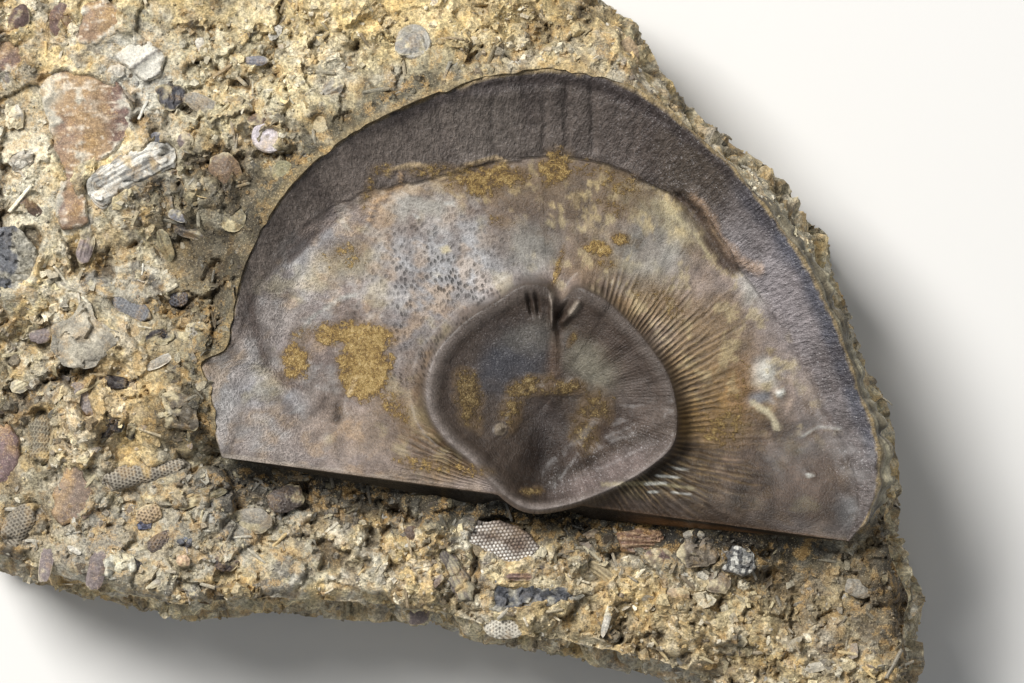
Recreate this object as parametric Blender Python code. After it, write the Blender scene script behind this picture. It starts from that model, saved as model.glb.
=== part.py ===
"""A brachiopod fossil: the inside of one large valve, lying in a loose slab of fossil-hash limestone.

Sizes are millimetres and become metres where a mesh is made. The slab's frame has +X along its length, +Y towards
the valve's round front edge and +Z up, and z = 0 is the flat bedding plane that the slab lies on. The valve has a
plan frame of its own: u runs along the straight hinge, v from the hinge towards the front edge.
"""

import math

import bmesh
import bpy
import numpy as np

METRES = 0.001
GAP = 0.35
DIRECTIONS = 84

# The valve.
HINGE_MIDDLE = (6.25, -9.84)
HINGE_TURN = math.radians(-7.62)
HINGE_HALF = 19.8
HINGE_LEVEL = 16.2
SHELL_THICKNESS = 1.2
EDGE_ROUND = 0.25
DISC_DIP = 1.6
FOLD_STEP = 0.25
HINGE_FACE_OUT = 1.0
HINGE_FACE_DROP = 1.6
HINGE_FACE_END = 0.5

# Each profile is (angle in degrees round the hinge's middle, from its right end over the front edge, millimetres).
VALVE_REACH = (
    (0, 19.8), (7, 21.1), (14, 21.6), (28, 21.4), (42, 22.0), (56, 23.0), (72, 24.7), (90, 27.0),
    (97, 27.0), (112, 26.2), (132, 25.3), (148, 23.6), (158, 22.5), (167, 22.4), (174, 21.1), (180, 19.8),
)  # fmt: skip
TRAIL_WIDTH = (
    (0, 0.6), (12, 2.6), (35, 3.2), (55, 3.6), (70, 3.4), (83, 5.0), (105, 5.2), (128, 3.9), (160, 3.3),
    (172, 2.4), (180, 0.6),
)  # fmt: skip
TRAIL_RISE = ((0, 0.2), (20, 1.2), (45, 1.8), (90, 2.6), (130, 2.3), (155, 1.6), (170, 0.8), (180, 0.2))

# The raised, cup-shaped muscle field: (angle round its own centre, millimetres).
CUP_CENTRE = (0.15, 6.45)
CUP_REACH = (
    (0, 7.85), (18, 7.37), (36, 6.85), (56, 6.73), (77, 7.0), (86, 6.95), (91, 6.15), (95, 6.2), (100, 6.85),
    (108, 7.2), (128, 6.93), (150, 7.3), (172, 7.85), (193, 7.74), (211, 6.96), (224, 6.38), (240, 6.4),
    (265, 7.0), (285, 6.7), (300, 6.6), (315, 6.8), (332, 7.4), (347, 8.06), (360, 7.85),
)  # fmt: skip
CUP_CREST = (
    (0, 0.25), (60, 0.0), (84, -0.1), (91, -0.6), (98, -0.1), (130, 0.0), (180, 0.15), (230, 0.45), (270, 0.6),
    (310, 0.6), (360, 0.25),
)  # fmt: skip
CUP_STEEPNESS = ((0, 3.0), (40, 1.8), (90, 1.5), (150, 1.5), (205, 2.0), (245, 3.0), (280, 6.0), (335, 6.0), (360, 3.0))
CUP_FLOOR = -1.5
CUP_WALL_RUN = 0.5
CUP_LIP = 0.35

# Ridges and grooves in the muscle field: (points in the valve's u and v, half width, height).
CUP_STROKES = (
    (((-0.25, 11.2), (0.05, 9.5), (0.15, 7.8)), 0.35, 0.35),
    (((-0.6, 12.7), (-0.55, 11.8), (-0.4, 11.0)), 0.4, 0.7),
    (((0.9, 12.4), (0.6, 11.7), (0.1, 11.0)), 0.4, 0.7),
    (((1.4, 1.4), (3.6, 3.3), (5.9, 5.3), (7.2, 6.7)), 0.4, 0.3),
    (((-0.1, 4.9), (0.25, 2.9), (0.5, 0.9)), 1.1, -0.7),
    (((-2.2, 4.1), (-2.1, 6.0), (-0.4, 7.0)), 0.4, 0.3),
    (((-0.1, 6.8), (1.3, 7.4), (3.3, 6.9), (3.3, 5.5), (1.7, 3.4)), 0.4, 0.35),
)

# The slab.
SLAB_OUTLINE = (
    (12.5, 20.2), (14.0, 17.3), (15.0, 15.8), (17.8, 13.0), (19.9, 11.8), (22.1, 9.9), (23.3, 8.0), (24.7, 6.7),
    (24.9, 4.6), (25.9, 1.8), (27.2, -2.0), (28.2, -3.6), (28.7, -5.7), (29.0, -7.5), (29.3, -9.2), (29.2, -11.0),
    (29.3, -12.4), (30.1, -14.3), (31.0, -16.3), (30.4, -18.4), (30.7, -20.3), (30.4, -22.2),
    (28.4, -23.8), (24.6, -24.5), (20.2, -23.6), (14.3, -21.2), (8.8, -20.1), (4.8, -19.3), (0.9, -18.3),
    (-1.8, -17.7), (-7.7, -17.2), (-11.8, -17.1), (-16.2, -17.5), (-20.5, -16.6), (-25.6, -15.2), (-29.1, -13.8),
    (-30.7, -10.0), (-31.0, -4.5), (-30.4, 1.0), (-30.9, 6.5), (-30.2, 12.5), (-30.7, 17.7), (-29.7, 21.6),
    (-27.0, 23.5), (-21.0, 24.0), (-15.0, 24.5), (-8.0, 24.2), (-2.0, 24.5), (4.0, 23.9), (8.6, 22.9),
)  # fmt: skip
SLAB_LEVEL = 14.3
SLAB_SLOPE = 0.03
BANK_RUN = 5.0
RIGHT_FALL = 0.55
BELOW_HINGE = 2.8
BROW_INSET = 1.6
EDGE_DROP = 0.9

# Hollows in the slab's top face: (x, y, radius, depth).
PITS = (
    (-15.4, -5.5, 1.3, 1.2),
    (-13.8, -7.0, 0.9, 1.0),
    (22.8, -15.2, 2.0, 1.2),
    (-19.8, -2.3, 1.0, 0.9),
    (-15.6, 6.8, 1.0, 0.8),
    (-27.0, 1.5, 1.2, 0.8),
)

# Flat fossils and chips in the slab: name, outline (x, y), how far they stand out, crown, look.
PLATES = (
    ("shell_fragment_large", ((-24.8, 16.2), (-23.5, 17.3), (-21.3, 17.2), (-19.8, 16.1), (-18.9, 14.8), (-19.2, 13.0),
     (-20.2, 11.9), (-22.5, 10.6), (-22.6, 8.6), (-22.4, 7.5), (-23.5, 7.0), (-24.0, 8.0), (-23.6, 10.6),
     (-24.5, 14.0)), 0.4, 0.5, "brown_shell"),
    ("shell_fragment_top", ((-22.2, 21.1), (-20.8, 21.6), (-19.3, 20.4), (-19.4, 19.6), (-21.0, 18.7), (-22.3, 18.6),
     (-22.9, 19.6)), 0.5, 0.4, "brown_shell"),
    ("shell_fragment_corner", ((-27.9, 19.0), (-26.4, 19.2), (-25.5, 17.7), (-26.3, 16.7), (-27.9, 17.0)), 0.3, 0.3,
     "brown_shell"),
    ("shell_flake_grey", ((-20.2, 17.9), (-19.3, 18.7), (-17.9, 18.9), (-17.0, 18.0), (-17.3, 16.7), (-18.3, 16.3),
     (-19.0, 16.9)), 0.6, 0.2, "grey_shell"),
    ("mudstone_pebble", ((-24.1, 1.0), (-22.8, 1.6), (-22.3, 2.6), (-21.5, 2.5), (-21.2, 1.4), (-19.8, 0.7),
     (-19.8, -0.2), (-20.8, -0.9), (-21.8, -1.8), (-23.4, -1.5), (-24.2, -0.4)), 0.7, 0.3, "pale_stone"),
    ("shell_paddle", ((-23.0, -7.2), (-22.1, -7.6), (-22.2, -8.6), (-21.6, -9.4), (-21.5, -10.2), (-22.2, -11.1),
     (-23.5, -11.6), (-24.1, -10.8), (-24.2, -9.5), (-23.5, -8.6)), 0.5, 0.3, "brown_shell"),
    ("shell_ribbed_left", ((-28.0, -5.3), (-26.9, -5.2), (-26.2, -6.1), (-26.2, -7.8), (-27.0, -9.0), (-28.0, -9.0)),
     0.5, 0.4, "brown_shell"),
    ("mineral_chunk", ((-27.8, 7.2), (-26.5, 7.3), (-25.4, 6.4), (-24.8, 5.0), (-25.0, 3.9), (-26.1, 2.9),
     (-27.4, 2.9), (-27.9, 4.5)), 0.6, 0.3, "dark_mineral"),
    ("bryozoan_fan", ((2.1, -11.3), (4.0, -11.2), (6.0, -12.0), (6.6, -13.0), (5.2, -14.2), (3.6, -13.4),
     (2.0, -12.5)), 0.7, 0.3, "bryozoan"),
    ("shell_chip_dark", ((3.2, -14.8), (4.4, -14.7), (5.6, -15.2), (7.9, -15.3), (9.4, -15.9), (7.8, -16.4),
     (5.9, -16.8), (4.1, -17.1), (3.2, -16.8)), 0.4, 0.1, "dark_mineral"),
    ("shell_ribbed_small", ((11.3, -11.9), (12.8, -11.6), (14.2, -11.9), (14.4, -12.7), (13.1, -13.3),
     (11.6, -13.1)), 0.4, 0.4, "brown_shell"),
    ("rock_chip_granular", ((17.9, -12.9), (19.0, -12.7), (19.9, -13.2), (20.1, -14.2), (19.2, -14.8),
     (18.0, -14.3)), 0.6, 0.3, "pale_stone"),
)  # fmt: skip
PLATE_THICKNESS = 0.9

# Branches of bryozoan, half sunk in the slab: name, start, end, radius.
BRANCHES = (
    ("bryozoan_branch_pale", (-21.2, 9.6), (-17.0, 11.8), 1.15),
    ("bryozoan_knob", (-20.1, 2.5), (-18.2, 1.6), 0.7),
    ("bryozoan_stub", (-22.5, -2.9), (-21.8, -4.4), 0.75),
    ("bryozoan_upright", (-24.8, -4.6), (-24.9, -7.4), 0.85),
    ("bryozoan_long", (-20.6, -8.7), (-15.9, -7.7), 0.75),
    ("bryozoan_low", (-26.9, -12.2), (-25.3, -10.6), 0.9),
    ("bryozoan_stick", (0.4, -13.2), (2.0, -16.0), 0.65),
    ("bryozoan_twig", (9.7, -13.9), (11.0, -14.8), 0.5),
)
BRANCH_SIDES = 8
BRANCH_SQUASH = 0.8
BRANCH_SUNK = 0.1
BRANCH_STATIONS = ((-1.0, 0.45), (-0.75, 0.85), (0.0, 1.0), (1.0, 1.0), (1.75, 0.85), (2.0, 0.45))

# Round crinoid columnals, lying flat: name, centre, radius.
COLUMNALS = (
    ("columnal_pale", (-10.5, 12.9), 1.05),
    ("columnal_beige", (-7.3, 13.9), 0.85),
    ("columnal_green", (-9.6, 10.7), 0.7),
    ("columnal_grey", (-1.4, 18.8), 1.1),
)
COLUMNAL_SIDES = 12
COLUMNAL_PROUD = 0.45

LOOKS = {
    "limestone": ((0.50, 0.42, 0.28), 0.9),
    "shell": ((0.24, 0.19, 0.18), 0.5),
    "brown_shell": ((0.28, 0.19, 0.15), 0.5),
    "grey_shell": ((0.42, 0.40, 0.37), 0.6),
    "pale_stone": ((0.42, 0.39, 0.34), 0.8),
    "bryozoan": ((0.30, 0.27, 0.22), 0.8),
    "dark_mineral": ((0.09, 0.09, 0.10), 0.6),
}


def smoothstep(low, high, value):
    share = np.clip((value - low) / (high - low), 0, 1)
    return share * share * (3 - 2 * share)


def profile(knots, angle):
    """The knots' value at an angle, on a smooth curve through them."""
    at, value = np.array(knots, float).T
    slope = np.gradient(value, at)
    place = np.clip(np.searchsorted(at, angle, side="right") - 1, 0, len(at) - 2)
    span = at[place + 1] - at[place]
    share = np.clip((angle - at[place]) / span, 0, 1)
    rise = value[place + 1] - value[place]
    start, end = slope[place] * span, slope[place + 1] * span
    return value[place] + share * (start + share * (3 * rise - 2 * start - end + share * (start + end - 2 * rise)))


def lattice(column, row, seed):
    """A repeatable number from 0 to 1 for each point of a whole-numbered grid."""
    mixed = (column * 374761393 + row * 668265263 + seed * 974711) & 0xFFFFFFFF
    mixed = ((mixed ^ (mixed >> 13)) * 1274126177) & 0xFFFFFFFF
    return ((mixed ^ (mixed >> 16)) & 0xFFFF) / 65535.0


def bumps(x, y, size, seed):
    """Smooth random height from -1 to 1, with lumps of about the given size."""
    column, row = np.floor(x / size).astype(np.int64), np.floor(y / size).astype(np.int64)
    across, along = smoothstep(0, 1, x / size - column), smoothstep(0, 1, y / size - row)
    low = lattice(column, row, seed) * (1 - across) + lattice(column + 1, row, seed) * across
    high = lattice(column, row + 1, seed) * (1 - across) + lattice(column + 1, row + 1, seed) * across
    return 2 * (low * (1 - along) + high * along) - 1


def to_slab(points):
    """Points in the valve's u and v, as x and y of the slab."""
    cosine, sine = math.cos(HINGE_TURN), math.sin(HINGE_TURN)
    u, v = points[..., 0], points[..., 1]
    return np.stack((HINGE_MIDDLE[0] + u * cosine - v * sine, HINGE_MIDDLE[1] + u * sine + v * cosine), axis=-1)


def to_valve(x, y):
    cosine, sine = math.cos(HINGE_TURN), math.sin(HINGE_TURN)
    x, y = x - HINGE_MIDDLE[0], y - HINGE_MIDDLE[1]
    return x * cosine + y * sine, y * cosine - x * sine


def hinge_angle(u, v):
    return np.degrees(np.arctan2(np.maximum(v, 0), u))


def disc_height(u, v):
    """Height of the valve's inner face above the hinge edge, without the muscle field."""
    angle = hinge_angle(u, v)
    width = profile(TRAIL_WIDTH, angle)
    across = (np.hypot(u, v) - profile(VALVE_REACH, angle)) / width + 1
    ear = smoothstep(12.5, 19, np.abs(u)) * (1 - smoothstep(3, 10, v))
    dip = DISC_DIP * smoothstep(0, 6, v) * (1 - 0.75 * ear)
    trail = profile(TRAIL_RISE, angle) * np.clip(across, 0, 1.2) ** 1.25
    return trail - dip + FOLD_STEP * smoothstep(-0.04, 0.04, across) * (1 - ear) - FOLD_STEP


def distance_to_path(u, v, path):
    """Shortest distance from each point to a line of straight stretches."""
    nearest = np.full(np.shape(u), np.inf)
    for (u0, v0), (u1, v1) in zip(path, path[1:]):
        du, dv = u1 - u0, v1 - v0
        share = np.clip(((u - u0) * du + (v - v0) * dv) / (du * du + dv * dv), 0, 1)
        nearest = np.minimum(nearest, np.hypot(u - u0 - share * du, v - v0 - share * dv))
    return nearest


def inner_height(u, v):
    """Height of the valve's whole inner face above the hinge edge."""
    angle = np.degrees(np.arctan2(v - CUP_CENTRE[1], u - CUP_CENTRE[0])) % 360
    distance = np.hypot(u - CUP_CENTRE[0], v - CUP_CENTRE[1])
    reach, crest = profile(CUP_REACH, angle), profile(CUP_CREST, angle)
    bowl = CUP_FLOOR + (crest - CUP_FLOOR) * np.minimum(distance / reach, 1) ** profile(CUP_STEEPNESS, angle)
    for path, half_width, height in CUP_STROKES:
        inside = smoothstep(1.0, 0.9, distance / reach)
        bowl = bowl + inside * height * np.exp(-((distance_to_path(u, v, path) / half_width) ** 2))
    disc = disc_height(u, v)
    wall = disc + (crest - disc) * np.exp(-(np.maximum(distance - reach, 0) / CUP_WALL_RUN))
    return np.where(distance <= reach, bowl, wall)


def rock_level(x, y):
    """Height of the slab's top face, without its lumps and pits."""
    u, v = to_valve(x, y)
    angle = hinge_angle(u, v)
    clear = np.maximum(np.hypot(u, v) - profile(VALVE_REACH, angle), 0)
    level = SLAB_LEVEL + SLAB_SLOPE * y
    rim = HINGE_LEVEL + disc_height(*(part * profile(VALVE_REACH, angle) for part in unit(u, v))) - 0.1
    beside = level + (rim - level) * np.exp(-clear / BANK_RUN)
    beside = beside - (0.35 + RIGHT_FALL * clear) * smoothstep(100, 60, angle)
    near_hinge = np.exp(-np.maximum(-v, 0) / 4) * (1 - smoothstep(18, 23, np.abs(u)))
    below = SLAB_LEVEL - 0.5 + (HINGE_LEVEL - BELOW_HINGE - SLAB_LEVEL + 0.5) * near_hinge
    return below + (beside - below) * smoothstep(-0.8, 1.8, v)


def unit(u, v):
    """The direction from the hinge's middle, kept on the valve's side of the hinge."""
    v = np.maximum(v, 0)
    length = np.maximum(np.hypot(u, v), 1e-6)
    return u / length, v / length


def rock_height(x, y):
    """Height of the slab's top face above its bedding plane."""
    u, v = to_valve(x, y)
    clear = np.hypot(u, v) - profile(VALVE_REACH, hinge_angle(u, v))
    lumps = 0.8 * bumps(x, y, 5.2, 3) + 0.6 * bumps(x, y, 2.8, 8)
    height = rock_level(x, y) + lumps * np.where(v < 0, 0.8, 0.15 + 0.85 * smoothstep(0.3, 2.0, clear))
    for pit_x, pit_y, radius, depth in PITS:
        height = height - depth * np.exp(-(((x - pit_x) ** 2 + (y - pit_y) ** 2) / radius**2))
    return height


def reach_of(outline, centre, directions):
    """How far each ray from the centre runs before it meets the outline."""
    start = np.array(outline) - centre
    side = np.roll(start, -1, axis=0) - start
    ray = np.stack((np.cos(directions), np.sin(directions)), axis=1)[:, None, :]
    cross = ray[..., 0] * side[:, 1] - ray[..., 1] * side[:, 0]
    with np.errstate(divide="ignore", invalid="ignore"):
        along = (start[:, 0] * side[:, 1] - start[:, 1] * side[:, 0]) / cross
        share = (start[:, 0] * ray[..., 1] - start[:, 1] * ray[..., 0]) / cross
    hit = (along > 0) & (share >= -1e-9) & (share <= 1 + 1e-9)
    return np.where(hit, along, -np.inf).max(axis=1)


def grown(loop, distance):
    """The closed loop with each point moved outwards along its two sides' normals."""
    after = np.roll(loop, -1, axis=0)
    side = after - loop
    turn = np.sign((loop[:, 0] * after[:, 1] - loop[:, 1] * after[:, 0]).sum())
    normal = turn * np.stack((side[:, 1], -side[:, 0]), axis=1) / np.hypot(*side.T)[:, None]
    mean = normal + np.roll(normal, 1, axis=0)
    mean = mean / np.maximum((mean**2).sum(axis=1, keepdims=True) / 2, 0.6)
    return loop + distance * mean


def at_height(loop, height):
    return np.column_stack((loop, np.broadcast_to(height, len(loop))))


def make_look(name):
    colour, roughness = LOOKS[name]
    material = bpy.data.materials.new(name)
    material.use_nodes = True
    shader = material.node_tree.nodes["Principled BSDF"]
    shader.inputs["Base Color"].default_value = (*colour, 1)
    shader.inputs["Roughness"].default_value = roughness
    shader.inputs["Metallic"].default_value = 0
    return material


def ring_solid(name, rings, look=None, top=None):
    """A closed solid of rings with equal numbers of points; a top point closes the first, a flat face the last."""
    mesh = bmesh.new()
    loops = [[mesh.verts.new(point * METRES) for point in ring] for ring in rings]
    count = len(loops[0])
    for inner, outer in zip(loops, loops[1:]):
        for i in range(count):
            j = (i + 1) % count
            mesh.faces.new((inner[i], outer[i], outer[j], inner[j]))
    if top is None:
        mesh.faces.new(loops[0])
    else:
        tip = mesh.verts.new(np.array(top) * METRES)
        for i in range(count):
            mesh.faces.new((tip, loops[0][i], loops[0][(i + 1) % count]))
    mesh.faces.new(loops[-1][::-1])
    bmesh.ops.recalc_face_normals(mesh, faces=mesh.faces)
    data = bpy.data.meshes.new(name)
    mesh.to_mesh(data)
    mesh.free()
    data.shade_smooth()
    data.set_sharp_from_angle(angle=math.radians(35))
    solid = bpy.data.objects.new(name, data)
    bpy.context.scene.collection.objects.link(solid)
    if look:
        data.materials.append(look)
    return solid


def prism(name, loop, low, high):
    """A cutter: an upright prism over the loop."""
    cutter = ring_solid(name, (at_height(loop, high), at_height(loop, low)))
    cutter.hide_render = True
    cutter.display_type = "WIRE"
    return cutter


def valve_directions():
    """Directions from the muscle field's centre, with one through each end of the hinge."""
    directions = np.linspace(0, math.tau, DIRECTIONS, endpoint=False)
    for end in (-HINGE_HALF, HINGE_HALF):
        corner = math.atan2(-CUP_CENTRE[1], end - CUP_CENTRE[0]) % math.tau
        directions[np.argmin(np.abs(directions - corner))] = corner
    return directions


def arc_outline(inset):
    """The valve's outline in u and v, drawn in from the front edge by a width for each angle."""
    angle = np.linspace(0, 180, 121)
    reach = profile(VALVE_REACH, angle) - inset(angle)
    turn = np.radians(angle)
    return np.stack((reach * np.cos(turn), reach * np.sin(turn)), axis=1)


def valve_loops():
    """The plan of the valve as loops in u and v: the cup's crest, the fold, the edge, and the edge of its skirt."""
    directions = valve_directions()
    ray = np.stack((np.cos(directions), np.sin(directions)), axis=1)
    centre = np.array(CUP_CENTRE)
    crest = profile(CUP_REACH, np.degrees(directions))
    edge = np.maximum(reach_of(arc_outline(lambda angle: 0), centre, directions), crest + CUP_LIP)
    fold = reach_of(arc_outline(lambda angle: profile(TRAIL_WIDTH, angle)) + (0, 0.3), centre, directions)
    fold = np.clip(fold, crest + 0.5 * CUP_LIP, edge - 0.3 * CUP_LIP)
    edge_loop = centre + edge[:, None] * ray
    skirt = edge_loop.copy()
    on_hinge = edge_loop[:, 1] < 0.05
    taper = 1 - np.abs(edge_loop[:, 0]) / HINGE_HALF
    skirt[on_hinge, 1] -= (HINGE_FACE_OUT * taper * smoothstep(1.2, 4, np.abs(edge_loop[:, 0])))[on_hinge]
    drop = np.where(on_hinge, HINGE_FACE_DROP * np.maximum(taper, 0) + HINGE_FACE_END, SHELL_THICKNESS)
    return ray, crest, fold, edge, edge_loop, skirt, drop


def valve_rings():
    """Rings of the valve from the cup's middle over the edge to its underside, in the slab's frame."""
    ray, crest, fold, edge, edge_loop, skirt, drop = valve_loops()
    centre = np.array(CUP_CENTRE)
    reaches = [crest * share for share in (0.15, 0.32, 0.48, 0.63, 0.77, 0.89, 1.0)]
    reaches += [crest + (fold - crest) * share for share in (0.05, 0.14, 0.32, 0.6, 0.97, 1.0)]
    reaches += [fold + (edge - fold) * share for share in (0.33, 0.67, 1.0)]
    rings = []
    for reach in reaches:
        plan = centre + reach[:, None] * ray
        rings.append(at_height(to_slab(plan), HINGE_LEVEL + inner_height(*plan.T)))
    edge_height = rings[-1][:, 2]
    rings[-1][:, 2] -= EDGE_ROUND
    underside = edge_height - drop
    rings.append(at_height(to_slab(skirt), underside))
    for share in (0.8, 0.4):
        plan = centre + (skirt - centre) * share
        floor = HINGE_LEVEL - DISC_DIP - 2 * SHELL_THICKNESS + SHELL_THICKNESS * share
        rings.append(at_height(to_slab(plan), np.minimum(floor, underside)))
    return rings


def make_valve(look):
    rings = valve_rings()
    middle = to_slab(np.array(CUP_CENTRE))
    return ring_solid("brachiopod_valve", rings, look, top=(*middle, HINGE_LEVEL + CUP_FLOOR))


def make_slab(look):
    """The slab, as rings from under the valve, up round its edge, out over the top, down the sides and in below."""
    skirt, *floor = valve_rings()[-3:]
    rings = [ring - (0, 0, GAP) for ring in reversed(floor)]
    plan_edge = to_slab(np.where(valve_loops()[5][:, 1:] < 0, valve_loops()[5], valve_loops()[4]))
    wall = grown(plan_edge, GAP)
    rings.append(at_height(plan_edge, skirt[:, 2] - GAP))
    rim_height = rock_height(*wall.T)
    rings.append(at_height(wall, np.where(rim_height > skirt[:, 2], 0.4 * skirt[:, 2] + 0.6 * rim_height, rim_height)))
    centre = to_slab(np.array(CUP_CENTRE))
    away = wall - centre
    outline = centre + reach_of(SLAB_OUTLINE, centre, np.arctan2(*away.T[::-1]))[:, None] * (
        away / np.hypot(*away.T)[:, None]
    )
    for corner in SLAB_OUTLINE:
        outline[np.argmin(np.hypot(*(outline - corner).T))] = corner
    room = np.hypot(*(outline - wall).T)[:, None]
    inset = np.minimum(BROW_INSET, 0.45 * room)
    inwards = (wall - outline) / room
    brow = outline + inwards * inset
    for share in (0.0, 0.1, 0.22, 0.35, 0.48, 0.61, 0.74, 0.87, 1.0):
        plan = wall + (brow - wall) * share
        rings.append(at_height(plan, rock_height(*plan.T)))
    brow_height = rings[-1][:, 2] - EDGE_DROP * inset[:, 0] / BROW_INSET
    rings[-1][:, 2] = brow_height
    for inset_share, height_share in ((0.35, 0.86), (0.12, 0.62), (0.0, 0.4), (0.25, 0.14)):
        ledge = 0.5 * inset * (1 + bumps(outline[:, :1] + 50 * height_share, outline[:, 1:], 2.6, 17))
        plan = outline + inwards * (inset_share * inset + (ledge if inset_share else 0))
        rings.append(at_height(plan, brow_height * height_share))
    rings.append(at_height(outline + inwards * (0.9 * inset + 0.2), 0))
    return ring_solid("matrix_rock", rings, look)


def make_plate(name, outline, proud, crown, look, dimple=0.0):
    """A flat or crowned piece sunk in the slab, and the cutter for its seat."""
    outline = np.array(outline, float)
    centre = outline.mean(axis=0)
    proud += rock_height(*centre) - rock_level(*centre)
    middle_height = rock_level(*centre) + proud + crown
    rings = []
    for share, drop in ((0.5, 0.0), (0.9, 0.0), (1.0, 0.15)):
        plan = centre + (outline - centre) * share
        rings.append(at_height(plan, rock_level(*plan.T) + proud + crown * (1 - share**2) - drop))
    bottom = min(ring[:, 2].min() for ring in rings) - PLATE_THICKNESS
    rings.append(at_height(outline, bottom))
    seat = prism("seat_" + name, grown(outline, GAP), bottom - GAP, HINGE_LEVEL + 6)
    return ring_solid(name, rings, look, top=(*centre, middle_height - dimple)), seat


def make_branch(name, start, end, radius, look):
    """A blunt-ended branch, half sunk in the slab, and the cutter for its seat."""
    start, end = np.array(start), np.array(end)
    length = math.dist(start, end)
    ahead = (end - start) / length
    aside = np.array((-ahead[1], ahead[0]))
    axis_height = rock_height(*((start + end) / 2)) - BRANCH_SUNK
    turns = np.linspace(0, math.tau, BRANCH_SIDES, endpoint=False)
    rings = []
    for station, share in BRANCH_STATIONS:
        run = station * radius * 0.6 if station < 1 else length + (station - 1) * radius * 0.6
        middle = start + ahead * run
        plan = middle + aside * (np.cos(turns) * radius * share)[:, None]
        rings.append(at_height(plan, axis_height + np.sin(turns) * radius * share * BRANCH_SQUASH))
    reach = 0.6 * radius
    corners = ((-reach, 0.5), (0, 1), (length, 1), (length + reach, 0.5))
    right = [start + ahead * run - aside * radius * share for run, share in corners]
    left = [start + ahead * run + aside * radius * share for run, share in reversed(corners)]
    bottom = axis_height - radius * BRANCH_SQUASH
    seat = prism("seat_" + name, grown(np.array(right + left), GAP), bottom - GAP, HINGE_LEVEL + 6)
    return ring_solid(name, rings, look), seat


def make_columnal(name, centre, radius, look):
    turns = np.linspace(0, math.tau, COLUMNAL_SIDES, endpoint=False)
    outline = np.array(centre) + radius * np.stack((np.cos(turns), np.sin(turns)), axis=1)
    return make_plate(name, outline, COLUMNAL_PROUD, 0.0, look, dimple=0.25)


def cut_seats(slab, seats):
    """Sinks a seat for each embedded piece into the slab."""
    cutters = bpy.data.collections.new("seats")
    bpy.context.scene.collection.children.link(cutters)
    for seat in seats:
        bpy.context.scene.collection.objects.unlink(seat)
        cutters.objects.link(seat)
    cut = slab.modifiers.new("seats", "BOOLEAN")
    cut.operand_type = "COLLECTION"
    cut.collection = cutters
    cut.operation = "DIFFERENCE"
    cut.solver = "EXACT"


def main():
    for old in list(bpy.data.objects):
        bpy.data.objects.remove(old)
    looks = {name: make_look(name) for name in LOOKS}
    make_valve(looks["shell"])
    slab = make_slab(looks["limestone"])
    seats = [make_plate(*plate[:-1], looks[plate[-1]])[1] for plate in PLATES]
    seats += [make_branch(*branch, looks["bryozoan"])[1] for branch in BRANCHES]
    seats += [make_columnal(*columnal, looks["grey_shell"])[1] for columnal in COLUMNALS]
    cut_seats(slab, seats)


main()
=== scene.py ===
"""The looks of a brachiopod fossil in its loose slab of fossil-hash limestone.

Sizes are millimetres in the slab's frame, and become metres where a mesh is made: +X along the slab, +Y towards the
valve's round front edge, +Z up, z = 0 the bedding plane that the slab lies on. The valve has a plan frame of its own:
u runs along the straight hinge, v from the hinge towards the front edge. Colours are written as 0 to 255 sRGB.
"""

import math

import bpy
import numpy as np
from mathutils.bvhtree import BVHTree
from mathutils.geometry import delaunay_2d_cdt
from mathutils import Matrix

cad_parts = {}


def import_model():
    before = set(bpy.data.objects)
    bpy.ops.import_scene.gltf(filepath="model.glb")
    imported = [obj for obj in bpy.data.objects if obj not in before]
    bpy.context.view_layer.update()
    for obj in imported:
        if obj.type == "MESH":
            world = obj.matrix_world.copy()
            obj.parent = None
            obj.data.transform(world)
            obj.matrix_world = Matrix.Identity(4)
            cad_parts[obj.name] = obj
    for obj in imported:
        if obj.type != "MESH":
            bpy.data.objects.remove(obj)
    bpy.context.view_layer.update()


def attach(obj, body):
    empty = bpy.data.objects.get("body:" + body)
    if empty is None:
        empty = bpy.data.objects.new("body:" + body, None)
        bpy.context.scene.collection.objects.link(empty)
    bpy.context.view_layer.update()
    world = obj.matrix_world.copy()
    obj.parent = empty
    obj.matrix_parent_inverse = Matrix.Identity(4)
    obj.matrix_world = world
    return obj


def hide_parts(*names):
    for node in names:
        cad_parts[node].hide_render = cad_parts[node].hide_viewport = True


METRES = 0.001

# --------------------------------------------------------------------------------------------------------------------
# The forms that the solids also have.

HINGE_MIDDLE = (6.25, -9.84)
HINGE_TURN = math.radians(-7.62)
HINGE_HALF = 19.8
HINGE_LEVEL = 16.2
SHELL_THICKNESS = 1.2
EDGE_ROUND = 0.35
DISC_DIP = 1.6
FOLD_STEP = 0.25
HINGE_FACE_OUT = 1.0
HINGE_FACE_DROP = 1.6
HINGE_FACE_END = 0.5
RIM_OUT = 0.9

# Each profile is (angle in degrees round the hinge's middle, from its right end over the front edge, millimetres).
VALVE_REACH = (
    (0, 19.8), (7, 21.1), (14, 21.6), (28, 21.4), (42, 22.0), (56, 23.0), (72, 24.7), (90, 27.0),
    (97, 27.0), (112, 26.2), (132, 25.3), (148, 23.6), (158, 22.1), (162, 21.7), (165.7, 22.7), (168.5, 21.7),
    (174, 20.8), (180, 19.8),
)  # fmt: skip
TRAIL_WIDTH = (
    (0, 0.6), (12, 2.6), (35, 3.2), (55, 3.6), (70, 3.4), (83, 5.0), (105, 5.2), (128, 3.9), (160, 3.3),
    (172, 2.4), (180, 0.6),
)  # fmt: skip
TRAIL_RISE = ((0, 0.2), (20, 1.2), (45, 1.8), (90, 2.6), (130, 2.3), (155, 1.6), (170, 0.8), (180, 0.2))

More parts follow.
